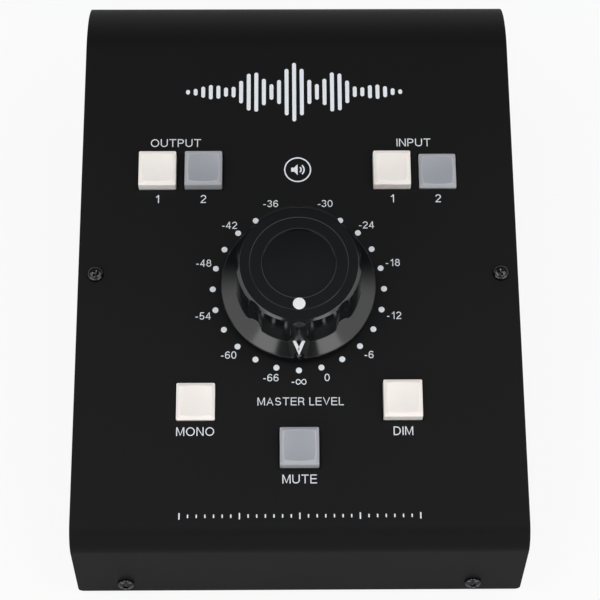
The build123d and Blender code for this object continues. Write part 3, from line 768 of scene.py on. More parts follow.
def make_feet(sizes):
    """Tapered feet with a shallow dish underneath: one profile turned round each foot's axis."""
    low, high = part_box("rubber_feet")
    radius = sizes.foot_radius
    height, brim = (high.z - low.z) / MM, radius / MM
    rubber_profile = [
        (0.4, 0.5),
        (brim - 3.2, 0.5),
        (brim - 2.4, 0.0),
        (brim - 1.4, 0.0),
        (brim - 1.05, 0.1),
        (brim - 0.9, 0.4),
        (brim - 0.1, height - 0.35),
        (brim - 0.2, height - 0.1),
        (brim - 0.5, height),
        (0.4, height),
    ]
    rings = revolved(np.array(rubber_profile) * MM, 64)
    shell = Shell()
    for x in (low.x + radius, high.x - radius):
        for y in (low.y + radius, high.y - radius):
            shell.loft(rings + (x, y, low.z))
    dress(shell.made("stick_on_feet"), "foot_rubber", replaces=["rubber_feet"])


def screw_places():
    """A function for each cover screw that moves points from its own axes to its place: two on
    the panel, two in front and two at the rear."""
    low, high = panel_box("cover_side_screws")
    u, v = high[0] - (high - low)[1] / 2, (low + high)[1] / 2
    places = [partial(on_panel, u=side * u, v=v) for side in (-1, 1)]
    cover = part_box("top_cover")
    for name, facing, y in (("front", -1, cover[0].y), ("rear", 1, cover[1].y)):
        low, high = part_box(f"cover_{name}_screws")
        x, z = high.x - (high.z - low.z) / 2, (low.z + high.z) / 2
        places += [partial(on_wall, facing=facing, x=side * x, z=z, y=y) for side in (-1, 1)]
    return places


def pan_head(radius, height, turn):
    """A pan-headed screw with a cross recess, as rings round its axis.

    At a share t of its radius the head's top is at rim + (height - rim) * sqrt(1 - t^2.8). The recess
    is cut where the lesser of |x| and |y|, turned with the cross, is within an arm's half width and
    the greater within its reach, with soft walls, and its floor rises outwards.
    """
    rim, nominal = 0.35 * MM, 3.0
    below = [(1.1, -7.0), (1.45, -6.6), (1.45, 0.0), (2.85, 0.0), (nominal, 0.12)]
    shank = revolved(np.array(below) * (radius / nominal), 96)
    across = np.concatenate((np.linspace(1, 0.66, 14), np.linspace(0.64, 0.03, 34)))
    head = revolved(np.stack((across * radius, np.zeros(across.size)), -1), 96)
    dome = rim + (height - rim) * np.sqrt(np.maximum(1 - across**2.8, 0))
    twisted = (head[..., 0] + 1j * head[..., 1]) * np.exp(1j * turn)
    far = np.maximum(np.abs(twisted.real), np.abs(twisted.imag))
    near = np.minimum(np.abs(twisted.real), np.abs(twisted.imag))
    half, reach, depth, rising = 0.45 * MM, 1.6 * MM, 1.35 * MM, 0.4
    side, end = 0.14 * MM, 0.2 * MM
    arm = np.clip((half - near) / side, 0, 1) * np.clip((reach - far) / end, 0, 1)
    head[..., 2] = dome[:, None] - arm * (depth - rising * far)
    return np.concatenate((shank, head))


def make_screws():
    """The six pan-headed screws, each with its cross turned another way."""
    low, high = panel_box("cover_side_screws")
    radius, height = (high - low)[1] / 2, high[2]
    first, apart = 0.35, 1.1
    places = screw_places()
    for pair, side in enumerate(("side", "front", "rear")):
        shell = Shell()
        for i in (2 * pair, 2 * pair + 1):
            shell.loft(places[i](pan_head(radius, height, first + apart * i)))
        made = shell.made(f"{side}_pan_screws")
        dress(made, "black_screw", replaces=[f"cover_{side}_screws"], sharp=50.0)


# Buttons


def cap_rings(sizes, half, top, bottom):
    """A cap as rounded squares: the hollow's ceiling and walls, the outside up to the sloping rim,
    and the face inwards. Each point also has its share of painted highlight, strongest at the outer edge and where
    the rim meets the dish.

    Over a square of half size a, the rim's height is top - drop + (brim - a) * drop / bevel, and
    the dish's is top - dish + dish * (x^2 + y^2) / (2 * face^2). The cap follows the lower one,
    with the corner between them rounded.
    """
    brim = half - sizes.draft
    face = brim - sizes.bevel
    inside = half - sizes.wall
    ceiling = top - 2 * sizes.wall
    edge, blend, pole, tightest = 0.15 * MM, 0.12 * MM, 0.5 * MM, 0.1 * MM
    # shares of painted highlight at the outer edge, on the sloping rim and along its ridge with the dish
    edge_highlight, slope_highlight, ridge_highlight = 0.8, 0.35, 0.5
    under = [(pole, ceiling), (inside, ceiling), (inside, bottom), (half - edge, bottom)]
    outside = [(half, bottom + edge), (brim, top - sizes.bevel_drop - edge)]
    halves = np.concatenate((brim - np.linspace(0.06, 3.2, 30) * MM, np.linspace(3.4, 0.3, 9) * MM))
    rows = [levels(rounded_square(a, min(sizes.corner, a / 3)), h) for a, h in under + outside]
    flat = rows[0].shape[:2]
    rim = [np.zeros(flat)] * len(under) + [np.zeros(flat), np.full(flat, edge_highlight)]
    for a in halves:
        ring = rounded_square(a, np.clip(sizes.corner - (brim - a) / 4, tightest, a / 3))
        slope = top - sizes.bevel_drop + (brim - a) * sizes.bevel_drop / sizes.bevel
        dish = top - sizes.dish + sizes.dish * (ring[:, 0] ** 2 + ring[:, 1] ** 2) / (2 * face**2)
        ring[:, 2] = smooth_min(slope, dish, blend)
        rows.append(ring[None])
        apart = (dish - slope) / blend
        # painted highlight over the sloping rim, peaking at its ridge with the dish
        light = slope_highlight * np.clip(apart + 0.5, 0, 1) + ridge_highlight * np.exp(-(apart**2))
        rim.append(np.clip(light, 0, 1)[None])
    return np.concatenate(rows), np.concatenate(rim)


def make_buttons(sizes):
    """The seven caps, white or grey as their nodes are."""
    slots = {part["node"]: part["material_slot"] for part in frame["record"]["subparts"]}
    for name in BUTTONS:
        node = f"{name}_cap"
        low, high = panel_box(node)
        u, v = (low + high)[:2] / 2
        shell = Shell()
        # rim is each point's share of painted highlight, kept on the cap for its finish
        rings, rim = cap_rings(sizes, (high - low)[0] / 2, high[2], low[2])
        shell.loft(on_panel(rings, u, v), marks=rim)
        dress(shell.made(f"{name}_button"), slots[node], f"{name}_button", [node], sharp=50.0)


# Knob


def knob_angles():
    """Angles round the knob from its pointer, anticlockwise: close together near the pointer."""
    sector = np.radians(24)
    fine = np.linspace(-sector, sector, 192, endpoint=False)
    coarse = np.linspace(sector, 2 * np.pi - sector, 384, endpoint=False)
    return np.concatenate((fine, coarse))


def grip_radius(sizes, angles, height, top, outer=None):
    """The grip's radius at one height, where its lobes reach out to a cone, or to outer.

    A flute of radius f, centred at c = cone + f - depth, leaves c * cos(a) - sqrt(f^2 - (c * sin(a))^2)
    at an angle a from its middle, and its depth falls with the height. The pointer's nose stands
    out of one flute: its face is at front - depth + depth * sqrt(1 - (u / half)^2), it leans back
    and widens upwards, and above its brow it slopes back at 45 degrees.
    """
    share = np.clip((height - sizes.grip_foot) / (top - sizes.grip_foot), 0, 1)
    cone = sizes.grip_base + (sizes.grip_top - sizes.grip_base) * share
    eighth = np.pi / 4
    aside = (angles + eighth / 2) % eighth - eighth / 2
    flute = sizes.flute_depth + (sizes.flute_top_depth - sizes.flute_depth) * share
    centre = cone + sizes.flute_radius - flute
    within = sizes.flute_radius**2 - (centre * np.sin(aside)) ** 2
    fluted = np.where(within > 0, centre * np.cos(aside) - np.sqrt(np.maximum(within, 0)), 1.0)
    lip, crease, soft = 0.2 * MM, 0.25 * MM, 0.8 * MM
    grip = smooth_min(cone if outer is None else outer, fluted, lip)
    turn = np.clip(np.abs((angles + np.pi) % (2 * np.pi) - np.pi), 0, 1)
    half = sizes.nose_foot_half + (sizes.nose_half - sizes.nose_foot_half) * share
    full = np.sqrt(np.maximum(1 - (cone * np.tan(turn) / half) ** 2, 0))
    above = height - sizes.nose_brow
    front = sizes.nose_front - sizes.nose_lean * share - (above + np.hypot(above, soft)) / 2
    nose = (front - sizes.nose_depth * (1 - full)) / np.cos(turn)
    return smooth_max(grip, np.where(full > 0, nose, 0.0), crease)


def wedge_height(sizes, forward, tip):
    """The height of the wedge's top: a straight slope down to its tip."""
    share = (tip - forward) / (tip - sizes.mark_start)
    return sizes.wedge_top + (sizes.wedge_root - sizes.wedge_top) * share


def wedge_rings(sizes, tip, bottom):
    """The pointer's wedge, as cross-sections from inside the grip out to the skirt's edge. Its top
    narrows in a straight line to its tip, and its sides fall away at 2.2 to 1. A section is an arc
    round the knob's axis: a point aside of the axis by x is sqrt(r^2 - x^2) in front of it."""
    rows, bevel, chamfer, fall = [], 0.1 * MM, 0.2 * MM, 2.2
    for radius, lower in ((sizes.wedge_start, 0), (tip - chamfer, 0), (tip, chamfer)):
        widened = (tip - radius) / (tip - sizes.grip_top)
        half = sizes.tip_half + (sizes.wedge_half - sizes.tip_half) * widened
        top = wedge_height(sizes, radius, tip) - lower
        edge, foot = half + bevel, half + (top - bottom) / fall
        aside = np.concatenate((np.linspace(-half, half, 5), (edge, foot)))
        heights = np.array((top,) * 5 + (top - bevel, bottom))
        aside = np.concatenate((aside, np.linspace(foot, -foot, 9)[1:-1], (-foot, -edge)))
        heights = np.concatenate((heights, np.full(7, bottom), (bottom, top - bevel)))
        rows.append(np.stack((aside, -np.sqrt(radius**2 - aside**2), heights), -1))
    return rows


def knob_rings(sizes):
    """The knob's moulding as rings from the underside over the rim, skirt, grip and crown, and down
    into the crown's recess, and how hazy each point is: the grip's walls a little, the nose more."""
    low, high = panel_box("knob_body")
    rim, floor, crown = high[0], low[2], high[2]
    disc_low, disc_high = panel_box("knob_top_disc")
    recess, seat = disc_high[0] + 0.05 * MM, disc_low[2]
    angles = knob_angles()
    upper = crown - sizes.crown_step
    pole, lap = 0.5 * MM, 0.2 * MM
    hollow, ceiling, web, wall = 17.8 * MM, 7.2 * MM, 3.2 * MM, 2.4 * MM
    rows = [
        (pole, ceiling),
        (hollow, ceiling),
        (hollow, web),
        (rim - wall, web),
        (rim - wall, floor),
        (rim - sizes.rim_round, floor),
        (rim, floor + sizes.rim_round),
    ]
    swing = np.linspace(0, np.pi / 2, 6)
    shrink, rise = sizes.rim_round * (1 - np.cos(swing)), sizes.rim_round * np.sin(swing)
    start = rim - sizes.rim_round
    rows += [(rim - a, sizes.rim_height - sizes.rim_round + b) for a, b in zip(shrink, rise)]
    grip = grip_radius(sizes, angles, sizes.grip_foot, upper)
    slope = (sizes.grip_foot - sizes.rim_height) / (start - sizes.grip_base)
    skirt = [start + (grip + lap - start) * t for t in np.linspace(0.01, 1, 32)]
    rows += [(radius, sizes.rim_height + (start - radius) * slope) for radius in skirt]
    foot, edge = rows[-1][1] + lap, upper - sizes.bevel_drop
    first_wall = len(rows)
    climb = np.concatenate((np.linspace(0, 0.78, 20), np.linspace(0.8, 1, 24)))
    for t in climb:  # closer together at the nose's brow
        height = foot + (edge - foot) * t
        rows.append((grip_radius(sizes, angles, height, upper), height))
    walls = slice(first_wall, len(rows))
    for t in np.linspace(0, 1, 8)[1:]:
        outer, height = sizes.grip_top - sizes.bevel * t, edge + sizes.bevel_drop * t
        rows.append((grip_radius(sizes, angles, height, upper, outer), height))
    bevel, drop = sizes.crown_bevel, sizes.crown_bevel_drop
    rows += [
        (sizes.grip_top - sizes.bevel - lap, upper),
        (sizes.crown + 0.05 * MM, upper),
        (sizes.crown, crown - drop),
        (sizes.crown - bevel, crown),
        (recess + bevel, crown),
        (recess, crown - drop),
        (recess, seat),
        (pole, seat),
    ]
    haze = np.zeros((len(rows), angles.size))
    haze[walls] = 0.2
    haze[walls, np.cos(angles) > np.cos(np.arctan(sizes.nose_half / sizes.nose_front))] = 1.0
    return lathed(rows, np.sin(angles), -np.cos(angles)), haze


def make_knob(sizes):
    """The fluted pointer knob: its turned body, with the wedge joined on and the set screw's hole
    bored out to one side."""
    tip, wedge_bottom = panel_box("knob_body")[1][0], 3.7 * MM
    rings, haze = knob_rings(sizes)
    knob = Shell().loft(on_panel(rings), marks=haze).made("pointer_knob")
    join(knob, Shell().loft(on_panel(wedge_rings(sizes, tip, wedge_bottom))), "UNION")
    hole = circle(sizes.screw_hole, 32)
    across, up = hole[:, 0], hole[:, 1] + sizes.screw_height
    rings = [np.stack((np.full(32, reach), across, up), -1) for reach in (14.0 * MM, 26.0 * MM)]
    join(knob, Shell().loft(on_panel(rings)), "DIFFERENCE")
    dress(knob, "knob_plastic", "level_knob", ["knob_body"], sharp=28.0)


def make_crown_disc():
    """The disc in the crown, a little domed: its height falls with the square of the radius."""
    low, high = panel_box("knob_top_disc")
    radius, top, dome = high[0], high[2], 0.12 * MM
    across = np.linspace(1, 0.02, 16)
    profile = [(radius, low[2]), *((radius * t, top - dome * t**2) for t in across)]
    disc = Shell().loft(on_panel(revolved(profile, 128))).made("crown_disc")
    dress(disc, "knob_plastic", "level_knob", ["knob_top_disc"])


def make_knob_marks(sizes):
    """The painted dot on the crown, and the chevron on the wedge."""
    low, high = panel_box("knob_marker_dot")
    inset, edge, swell = 0.08 * MM, 0.05 * MM, 0.07 * MM
    radius = (high - low)[0] / 2 - inset
    place, top = (low + high)[1] / 2, high[2]
    profile = [(radius, low[2]), (radius, top), (radius - 0.12 * MM, top + edge)]
    profile += [(radius * t, top + swell) for t in (0.8, 0.4, 0.05)]
    dot = Shell().loft(on_panel(revolved(profile, 48), v=place)).made("crown_dot")
    dress(dot, "marker_white", "level_knob", ["knob_marker_dot"])
    across = np.linspace(-1, 1, 17)
    along = sizes.mark_end + (sizes.mark_start - sizes.mark_end) * np.abs(across)
    line = np.stack((across * sizes.mark_half, -along), -1)
    thickness, sunk = 0.06 * MM, 0.02 * MM
    rings = pen_rings(line, sizes.mark_stroke, thickness)
    rings[..., 2] += wedge_height(sizes, -rings[..., 1], panel_box("knob_body")[1][0]) - sunk
    chevron = Shell().loft(on_panel(rings)).made("pointer_chevron")
    dress(chevron, "marker_white", "level_knob")


# Jack sockets


def jack_rings(depth, reach, bore):
    """One socket as rings from the end of its body out to the mouth of its nose, then back down the
    bore. The body is square, radius half / max(|cos|, |sin|), and the nose has a thread: its radius
    falls and rises evenly once a pitch along the axis, shifted by one pitch a turn."""
    half, nose, groove, pitch = 7.0 * MM, 4.7 * MM, 0.35 * MM, 0.75 * MM
    end, pole = 2.0 * MM - depth, 0.4 * MM
    turn = np.arange(64) / 64 * 2 * np.pi
    square = half / np.maximum(np.abs(np.cos(turn)), np.abs(np.sin(turn)))
    rows = [(square, -depth), (square, 0), (nose, 0)]
    for out in np.arange(pitch / 6, reach - 0.45 * MM, pitch / 6):
        phase = (out / pitch - turn / (2 * np.pi)) % 1
        rows.append((nose - groove * np.abs(2 * phase - 1), out))
    rows += [
        (4.3 * MM, reach - 0.35 * MM),
        (4.1 * MM, reach),
        (bore + 0.55 * MM, reach),
        (bore + 0.15 * MM, reach - 0.3 * MM),
        (bore, reach - 0.7 * MM),
        (bore, end),
        (pole, end),
    ]
    return lathed(rows, np.cos(turn), np.sin(turn))


def hexagon_nut(width, height, bore):
    """A chamfered nut: the hexagon's radius is (width / 2) / cos(angle from the nearest flat), and
    its corners are cut back by a flat cone, which lowers the edge where the radius is larger."""
    turn = np.arange(96) / 96 * 2 * np.pi
    sixth = np.pi / 3
    outer = width / 2 / np.cos((turn + sixth / 2) % sixth - sixth / 2)
    chamfer, face = 0.3 * MM, width / 2 * 0.98
    drop = (outer - face) * np.tan(np.radians(30))
    rows = [
        (bore, chamfer),
        (bore + chamfer, 0),
        (face, 0),
        (outer, drop),
        (outer, height - drop),
        (face, height),
        (bore + chamfer, height),
        (bore, height - chamfer),
    ]
    return lathed(rows, np.cos(turn), np.sin(turn))


def make_jacks(sizes):
    """The eight sockets in the rear wall, and their nuts."""
    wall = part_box("top_cover")[1].y
    low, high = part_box("jack_sockets")
    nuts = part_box("jack_nuts")
    inner, nut_bore = wall - sizes.sheet, 4.72 * MM
    nut = hexagon_nut(nuts[1].z - nuts[0].z, nuts[1].y - wall, nut_bore)
    sockets, rings = Shell(), Shell()
    for mount in jack_mounts():
        x, _, z = mount["pos_m"]
        bore = mount["dims"]["r_mm"] * MM
        sockets.loft(on_wall(jack_rings(inner - low.y, high.y - inner, bore), 1, x, z, inner))
        rings.loft(on_wall(nut, 1, x, z, wall), loop=True)
    dress(sockets.made("threaded_jacks"), "jack_plastic", replaces=["jack_sockets"])
    dress(rings.made("chamfered_nuts"), "jack_nut_metal", replaces=["jack_nuts"], sharp=25.0)


# Printing


def bow(x, y, wide, high, start, end, steps=16):
    """Points along part of an ellipse, between angles in degrees anticlockwise from +x."""
    turn = np.radians(np.linspace(start, end, steps))
    return list(zip(x + wide * np.cos(turn), y + high * np.sin(turn)))


def oval(x, y, wide, high, square=1.0):
    """A closed oval; a square under 1 fills its corners."""
    turn = np.arange(28) / 28 * 2 * np.pi
    cosine, sine = np.cos(turn), np.sin(turn)
    x = x + wide * np.sign(cosine) * np.abs(cosine) ** square
    y = y + high * np.sign(sine) * np.abs(sine) ** square
    return list(zip(x, y)) + [(x[0], y[0])]


def lemniscate(x, y, wide, high):
    """The sign for infinity: x = cos / (1 + sin^2) and y = sin * cos / (1 + sin^2)."""
    turn = np.arange(40) / 40 * 2 * np.pi
    under = 1 + np.sin(turn) ** 2
    x, y = x + wide * np.cos(turn) / under, y + high * np.sin(turn) * np.cos(turn) / under
    return list(zip(x, y)) + [(x[0], y[0])]


PEN = 0.11
LOW, TOP = PEN / 2, 1 - PEN / 2
STEM = [(LOW, 0), (LOW, 1)]
BOWL = [(LOW, TOP), *bow(0.41, 0.705, 0.245, 0.2325, 90, -90), (LOW, 0.4725)]
GLYPHS = {  # each sign's width and pen strokes, for signs 1 high
    " ": (0.2, []),
    "-": (0.38, [[(0.02, 0.36), (0.36, 0.36)]]),
    "∞": (1.4, [lemniscate(0.7, 0.42, 0.63, 0.92)]),
    "0": (0.66, [oval(0.33, 0.5, 0.27, 0.4375, 0.9)]),
    "1": (0.56, [[(0.43, 0), (0.43, 1)], [(0.13, 0.745), (0.27, 0.77), (0.36, 0.85), (0.39, 1)]]),
    "2": (0.66, [[*bow(0.33, 0.69, 0.265, 0.2475, 172, -28), (0.2, 0.24), (0.08, LOW), (0.64, LOW)]]),
    "3": (0.66, [bow(0.32, 0.725, 0.24, 0.2125, 160, -98), bow(0.32, 0.29, 0.27, 0.2275, 98, -165)]),
    "4": (0.68, [[(0.48, 0), (0.48, 1)], [(0.47, 1.02), (0.06, 0.29), (0.67, 0.29)]]),
    "5": (0.66, [[(0.59, TOP), (0.16, TOP), (0.1, 0.47), *bow(0.32, 0.32, 0.265, 0.2575, 142, -160)]]),
    "6": (0.66, [oval(0.33, 0.315, 0.265, 0.2525), bow(0.37, 0.5, 0.305, 0.4375, 186, 42)]),
    "8": (0.66, [oval(0.33, 0.735, 0.215, 0.2025), oval(0.33, 0.3, 0.268, 0.2375)]),
    "A": (0.84, [[(0.05, -0.03), (0.42, 1.03), (0.79, -0.03)], [(0.18, 0.33), (0.66, 0.33)]]),
    "D": (0.8, [STEM, [(LOW, TOP), *bow(0.36, 0.5, 0.375, 0.4375, 90, -90), (LOW, LOW)]]),
    "E": (0.72, [STEM, *([(LOW, y), (x, y)] for x, y in ((0.71, TOP), (0.67, 0.52), (0.72, LOW)))]),
    "I": (PEN, [STEM]),
    "L": (0.58, [STEM, [(LOW, LOW), (0.58, LOW)]]),
    "M": (0.9, [STEM, [(0.84, 0), (0.84, 1)], [(0.09, 1.03), (0.45, 0.0), (0.81, 1.03)]]),
    "N": (0.79, [STEM, [(0.7275, 0), (0.7275, 1)], [(0.08, 1.03), (0.71, -0.03)]]),
    "O": (0.98, [oval(0.49, 0.5, 0.4275, 0.4375, 0.97)]),
    "P": (0.72, [STEM, BOWL]),
    "R": (0.78, [STEM, BOWL, [(0.4, 0.4725), (0.56, 0.43), (0.63, 0.32), (0.645, 0.12), (0.7, 0)]]),
    "S": (0.74, [[*bow(0.37, 0.715, 0.27, 0.2225, 18, 256), *bow(0.37, 0.285, 0.3, 0.2225, 76, -165)]]),
    "T": (0.8, [[(0, TOP), (0.8, TOP)], [(0.4, 0), (0.4, 1)]]),
    "U": (0.82, [[(LOW, 1), *bow(0.41, 0.34, 0.3475, 0.2775, 180, 360), (0.7575, 1)]]),
    "V": (0.8, [[(0.03, 1.03), (0.4, -0.03), (0.77, 1.03)]]),
}


def pen_rings(line, width, thickness):
    """A flat pen stroke: a rectangle carried along a line, with mitred corners. A corner's mitre
    points along the sum of its runs' normals, and is as long as 1 / cos(half the turn)."""
    line = np.asarray(line, float)
    runs = np.diff(line, axis=0)
    normals = np.stack((-runs[:, 1], runs[:, 0]), -1) / np.linalg.norm(runs, axis=1)[:, None]
    closed = np.allclose(line[0], line[-1])
    before = np.concatenate((normals[-1:] if closed else normals[:1], normals))
    after = np.concatenate((normals, normals[:1] if closed else normals[-1:]))
    mitre = (before + after) / np.maximum(1 + (before * after).sum(1), 0.2)[:, None]
    left, right = line + mitre * width / 2, line - mitre * width / 2
    low, high = np.zeros((len(line), 1)), np.full((len(line), 1), thickness)
    corners = (np.hstack((left, low)), np.hstack((left, high)), np.hstack((right, high)))
    return np.stack((*corners, np.hstack((right, low))), 1)


def write(shell, text, height, u, v, ink, gap=0.18):
    """Adds a word to a shell, centred on a panel place."""
    widths = [GLYPHS[letter][0] for letter in text]
    start = -(sum(widths) + gap * (len(text) - 1)) / 2
    for letter, width in zip(text, widths):
        for stroke in GLYPHS[letter][1]:
            rings = pen_rings(np.array(stroke) + (start, 0), PEN, 0.0)
            rings[..., 1] = np.clip(rings[..., 1], 0, 1) - 0.5
            rings *= height
            rings[:, 1:3, 2] = ink
            shell.loft(on_panel(rings, u, v))
        start += width + gap


def stamp(shell, outline, ink, u=0.0, v=0.0):
    """Adds a filled outline in ink to a shell, at a panel place."""
    shell.loft(on_panel(levels(outline, 0, ink), u, v))


def dial_turn(sizes, position):
    """The knob's turn at one of its positions, clockwise from the panel's front."""
    return 2 * np.pi * position / sizes.positions


def on_dial(ring, turn):
    """The panel place where a turn meets a ring round the knob."""
    return -ring * np.sin(turn), -ring * np.cos(turn)


def make_lettering(sizes):
    """The dial's numbers, in decibels, and the words and numbers at the buttons."""
    shell = Shell()
    quietest, step, close = -66, 3, 0.14
    for position in (0, *range(1, sizes.positions, 2)):
        turn = dial_turn(sizes, position)
        turn += sizes.number_lean * np.sin(4 * turn)
        text = str(quietest + step * (position - 1)) if position else "-∞"
        u, v = on_dial(sizes.number_ring + sizes.number_spread * np.sin(turn) ** 2, turn)
        write(shell, text, sizes.number_height, u, v, sizes.ink, close)
    centres = {name: sum(panel_box(f"{name}_cap"))[:2] / 2 for name in BUTTONS}
    row, lower, title_shift = centres["output_1"][1], 0.1 * MM, 0.5 * MM
    words = [(name[-1], centres[name][0], row - sizes.word_below) for name in BUTTONS[:4]]
    for name in BUTTONS[4:]:
        u, v = centres[name]
        words.append((name.upper(), u, v - sizes.word_below - lower))
    for name, shift in (("output", -2.0 * MM), ("input", 0.0)):
        u = (centres[f"{name}_1"][0] + centres[f"{name}_2"][0]) / 2 + shift
        words.append((name.upper(), u, row + sizes.word_above))
    for word, u, v in words:
        write(shell, word, sizes.word_height, u, v, sizes.ink)
    write(shell, "MASTER LEVEL", sizes.title_height, title_shift, centres["mono"][1], sizes.ink)
    dress(shell.made("panel_lettering"), "marker_white", finish="ink")


def make_dial_dots(sizes):
    """One printed dot for each position of the knob."""
    shell = Shell()
    for position in range(sizes.positions):
        u, v = on_dial(sizes.dot_ring, dial_turn(sizes, position))
        stamp(shell, circle(sizes.dot_radius, 32), sizes.ink, u, v)
    dress(shell.made("dial_dots"), "marker_white", finish="ink")


def level_bars(shell, sizes):
    """A row of level bars whose heights swell in three humps: exp(-2.6 x^2) * (0.62 + 0.38
    cos(15.5 x)) of the tallest, for x from -1 to 1 along the row."""
    middle, shift, inked = (sizes.bars - 1) / 2, -1.1 * MM, 0.52
    width = sizes.wave_width / (sizes.bars - 1) * inked
    for i in range(sizes.bars):
        x = (i - middle) / middle
        swell = np.exp(-2.6 * x * x) * (0.62 + 0.38 * np.cos(15.5 * x))
        bar = capsule(width, width + sizes.wave_height * swell)
        stamp(shell, bar, sizes.ink, x * sizes.wave_width / 2 + shift, sizes.wave_place)


def loudspeaker(shell, sizes):
    """A loudspeaker with two sound arcs in a ring, drawn for a ring of radius 1."""
    size, v = sizes.badge_radius, sizes.badge_place
    strokes = [(oval(0, 0, 1, 1), 0.1)]
    strokes += [(bow(0, 0, reach, reach, -48, 48), 0.11) for reach in (0.27, 0.5)]
    for line, width in strokes:
        shell.loft(on_panel(pen_rings(np.array(line) * size, width * size, sizes.ink), v=v))
    cone = [(-0.5, -0.17), (-0.27, -0.17), (0, -0.45), (0, 0.45), (-0.27, 0.17), (-0.5, 0.17)]
    stamp(shell, np.array([(x, y, 0.0) for x, y in cone]) * size, sizes.ink, v=v)


def tick_scale(shell, sizes):
    """A scale of ticks, of which each seventh is longer."""
    tick, long_tick, width = 1.3 * MM, 2.4 * MM, 0.5 * MM
    for i in range(sizes.ticks):
        u = (i - (sizes.ticks - 1) / 2) * sizes.tick_pitch
        stamp(shell, capsule(width, tick if i % 7 else long_tick), sizes.ink, u, -sizes.scale_place)


def make_graphics(sizes):
    """The plain decoration: a row of level bars above the buttons, a loudspeaker in a ring above
    the dial, and a scale of ticks near the front."""
    shell = Shell()
    level_bars(shell, sizes)
    loudspeaker(shell, sizes)
    tick_scale(shell, sizes)
    dress(shell.made("panel_graphics"), "marker_white", finish="ink")


# Inside and studio


def finish_inside():
    """Gives each solid part that still shows the finish of its material slot."""
    for part in frame["record"]["subparts"]:
        node = frame["nodes"][part["node"]]
        if node.hide_render:
            continue
        if not node.material_slots:
            node.data.materials.append(None)
        for slot in node.material_slots:
            slot.material = FINISHES[part["material_slot"]]


def make_floor(colours):
    """A wide pale floor that keeps the controller's shadow and fades into the white behind."""
    shell = Shell()
    reach = 3.0
    shell.gather([[(x, y, 0) for x in (-reach, reach)] for y in (-reach, reach)], wrap=False)
    floor = shell.made("studio_floor")
    finish = Finish("studio_floor_paint", colours.floor, 0.8)
    grain = finish.noise(40 * MM, 2.0)
    finish.feed("Base Color", grain.mix(faded(colours.floor, 0.98), colours.floor[:]))
    seen = finish.node("ShaderNodeLightPath", {}, {}, "Is Camera Ray")
    glow = finish.node("ShaderNodeEmission", {}, {"Color": WHITE, "Strength": 1.0})
    lit = Signal(finish, finish.shader.outputs[0])
    fading = 0.9
    mixed = finish.node("ShaderNodeMixShader", {}, {0: seen * fading, 1: lit, 2: glow})
    finish.fill(finish.tree.nodes["Material Output"].inputs["Surface"], mixed)
    floor.data.materials.append(finish.material)


def make_sky(studio):
    """The room: white where it is seen, with pale walls that are darker in front, and a dim ceiling
    with a darker band behind the middle."""
    world = bpy.data.worlds.new("studio_room")
    bpy.context.scene.world = world
    world.use_nodes = True
    nodes = Nodes(world.node_tree)
    direction = nodes.node("ShaderNodeTexCoord", {}, {}, "Generated")
    height = nodes.node("ShaderNodeSeparateXYZ", {}, {0: direction}, "Z")
    back = nodes.node("ShaderNodeSeparateXYZ", {}, {0: direction}, "Y")
    front = 1.0 - back.between(-0.6, -0.2)
    walls = (1.0 - (height - front * 0.22).between(0.35, 0.6)) * (1.0 - front * 0.3)
    ceiling = 0.25 - back.between(0.14, 0.27) * 0.2 + back.between(0.4, 0.75) * 0.3
    camera = nodes.node("ShaderNodeLightPath", {}, {}, "Is Camera Ray")
    glossy = nodes.node("ShaderNodeLightPath", {}, {}, "Is Glossy Ray")
    clear = nodes.node("ShaderNodeLightPath", {}, {}, "Is Transmission Ray")
    seen = camera.larger(clear)
    strength = seen.larger(glossy) * (1 - studio.sky_light) + studio.sky_light
    background = world.node_tree.nodes["Background"]
    room = walls.larger(ceiling).mix(BLACK, WHITE)
    nodes.fill(background.inputs["Color"], seen.mix(room, WHITE))
    nodes.fill(background.inputs["Strength"], strength)


def softbox(name, place, turn, size, watts, fade=0.0):
    """A rectangular lamp at a place from the knob's centre, turned from facing down. Its light can
    fade out smoothly over a share of its length, towards its rear."""
    lamp = bpy.data.lights.new(name, "AREA")
    lamp.shape = "RECTANGLE"
    lamp.size, lamp.size_y = size
    lamp.energy = watts
    if fade:
        lamp.use_nodes = True
        nodes = Nodes(lamp.node_tree)
        spot = nodes.node("ShaderNodeNewGeometry", {}, {}, "Parametric")
        along = nodes.node("ShaderNodeSeparateXYZ", {}, {0: spot}, "Y")
        emission = lamp.node_tree.nodes["Emission"]
        nodes.fill(emission.inputs["Strength"], 1.0 - along.between(1 - fade, 1.0))
    made = bpy.data.objects.new(name, lamp)
    made.location = PANEL_ORIGIN + place
    made.rotation_euler = turn
    bpy.context.scene.collection.objects.link(made)


def make_lamps(studio):
    """Wide softboxes above on both sides, with a gap between them over the knob, a brighter strip
    along each one's inner edge, and a lower softbox towards the front."""
    wide, strip, flat = 0.65, 0.16, (0, 0, 0)
    for name, side, inner in (("left", -1, 0.164), ("right", 1, 0.156)):
        place = (side * (inner + wide / 2), -0.05, 0.9)
        softbox(f"{name}_softbox", place, flat, (wide, 0.9), studio.side_light, 0.4)
        place = (side * (inner + strip / 2), -0.18, 0.89)
        softbox(f"{name}_strip", place, flat, (strip, 0.6), studio.strip_light)
        place, turn = (side * 0.7, -0.7, 0.26), np.radians((77, 0, side * 45))
        softbox(f"{name}_front_softbox", place, turn, (0.9, 0.55), studio.fill_light)


def make_camera(studio):
    """The camera, placed from the knob's centre."""
    camera = bpy.data.cameras.new("studio_camera")
    camera.lens = studio.lens
    camera.sensor_width = 36.0
    camera.clip_start = 0.01
    made = bpy.data.objects.new("studio_camera", camera)
    made.location = PANEL_ORIGIN + np.array(studio.camera_place)
    made.rotation_euler = studio.camera_turn
    bpy.context.scene.collection.objects.link(made)
    bpy.context.scene.camera = made


# Operators


FINISHES = {}


class Step(bpy.types.Operator):
    """One step of the build."""

    bl_options = {"REGISTER", "UNDO"}


